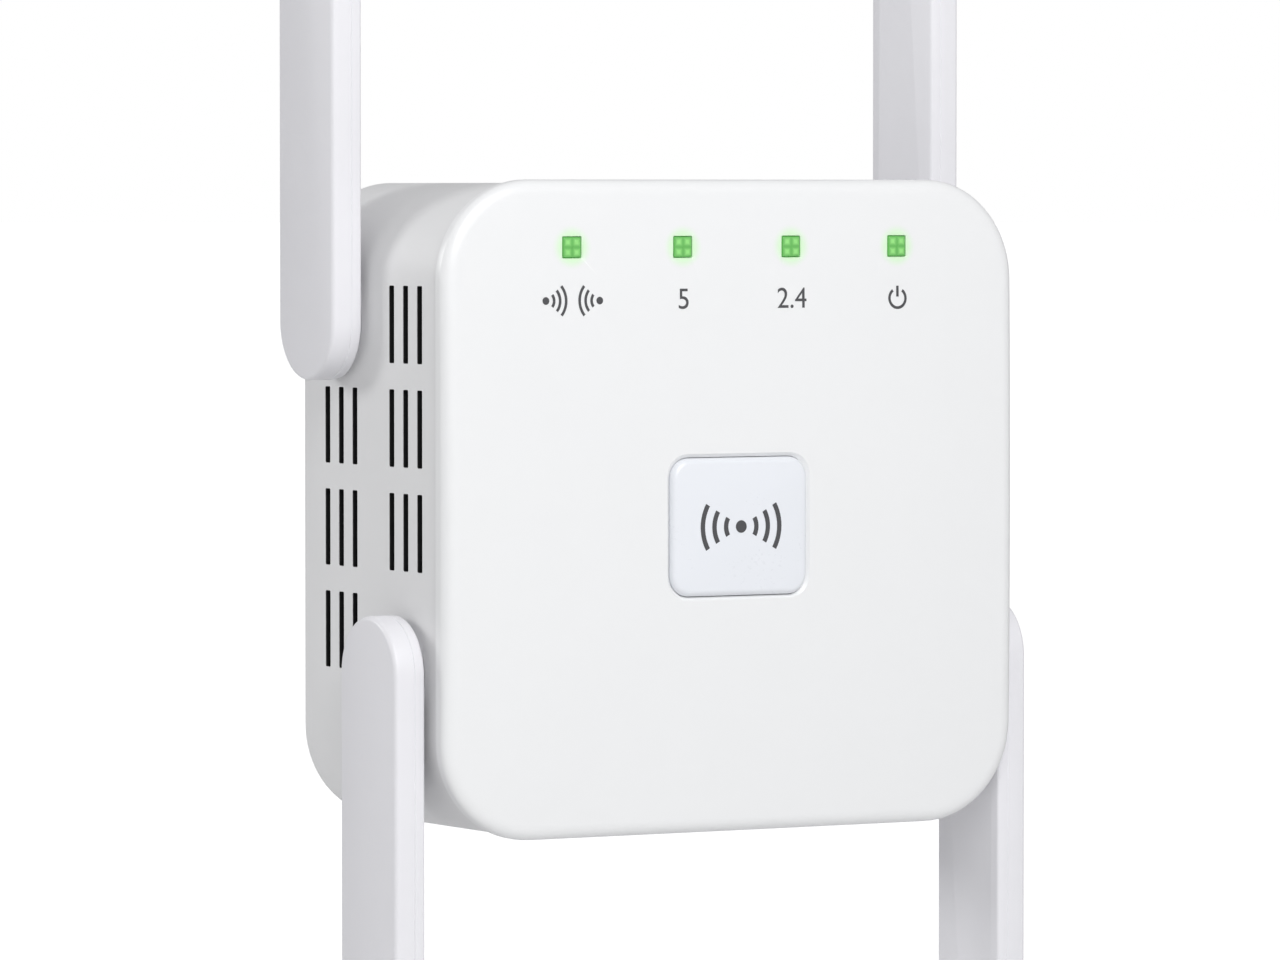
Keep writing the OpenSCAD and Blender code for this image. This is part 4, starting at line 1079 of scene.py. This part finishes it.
def pale_floor():
    """Matt pale floor, as bright as the backdrop where it is seen, and clear from below."""
    material = plastic("pale floor", (0.85, 0.85, 0.85), 0.85, grain=2, tone=0.01, wear=0)
    tree = material.node_tree
    shader = tree.nodes["Principled BSDF"]
    seen = node(tree, "ShaderNodeLightPath").outputs["Is Camera Ray"]
    tree.links.new(maths(tree, "MULTIPLY", seen, 0.8), shader.inputs["Emission Strength"])
    shader.inputs["Emission Color"].default_value = (1, 1, 1, 1)
    shader.inputs["Specular IOR Level"].default_value = 0.1
    clear = node(tree, "ShaderNodeBsdfTransparent")
    underside = node(tree, "ShaderNodeNewGeometry").outputs["Backfacing"]
    either = node(tree, "ShaderNodeMixShader", {0: underside, 1: shader.outputs[0], 2: clear.outputs[0]})
    tree.links.new(either.outputs[0], tree.nodes["Material Output"].inputs["Surface"])
    return material


def make_stage():
    bpy.ops.object.select_all(action="DESELECT")
    bpy.ops.mesh.primitive_circle_add(vertices=96, radius=40, fill_type="NGON",
                                      location=(0, 0, CAD_BOX[0][Z] - 1 * MM))
    floor = settled("floor")
    floor.data.materials.append(pale_floor())


def area_light(name, place, target, size, power):
    light = bpy.data.lights.new(name, "AREA")
    light.size, light.energy = size, power
    lamp = bpy.data.objects.new(name, light)
    lamp.location = place
    lamp.rotation_euler = (Vector(target) - Vector(place)).to_track_quat("-Z", "Y").to_euler()
    bpy.context.scene.collection.objects.link(lamp)


def make_light():
    """Even studio room, white where the camera sees it, with soft lamps above the front and beside."""
    world = bpy.data.worlds.new("studio")
    world.use_nodes = True
    tree = world.node_tree
    seen = node(tree, "ShaderNodeLightPath").outputs["Is Camera Ray"]
    tone = blend(tree, seen, (0.365, 0.367, 0.373), (1, 1, 1))
    tree.links.new(tone, tree.nodes["Background"].inputs["Color"])
    bpy.context.scene.world = world
    area_light("key", place=(-0.1, -0.55, 0.36), target=(0, -0.05, 0), size=0.35, power=2.9)
    area_light("side", place=(-0.8, 0.7, 0.35), target=(0, -0.03, 0), size=0.3, power=3.4)
    bpy.context.scene.view_settings.view_transform = "Standard"


def make_camera():
    camera = bpy.data.cameras.new("camera")
    camera.lens = 214.9
    camera.sensor_width = 36
    camera.clip_start = 0.05
    eye = bpy.data.objects.new("camera", camera)
    eye.location = (-0.4641, -0.8402, 0.0377)
    yaw, pitch = math.radians(29.84), math.radians(-2.17)
    ahead = Vector((math.sin(yaw) * math.cos(pitch), math.cos(yaw) * math.cos(pitch), math.sin(pitch)))
    eye.rotation_euler = ahead.to_track_quat("-Z", "Y").to_euler()
    bpy.context.scene.collection.objects.link(eye)
    bpy.context.scene.camera = eye


make_camera()
make_light()
make_stage()
make_cover()
make_button()
make_light_guide()
make_prints()
make_housing()
make_label()
make_plug()
make_socket()
make_antennas()
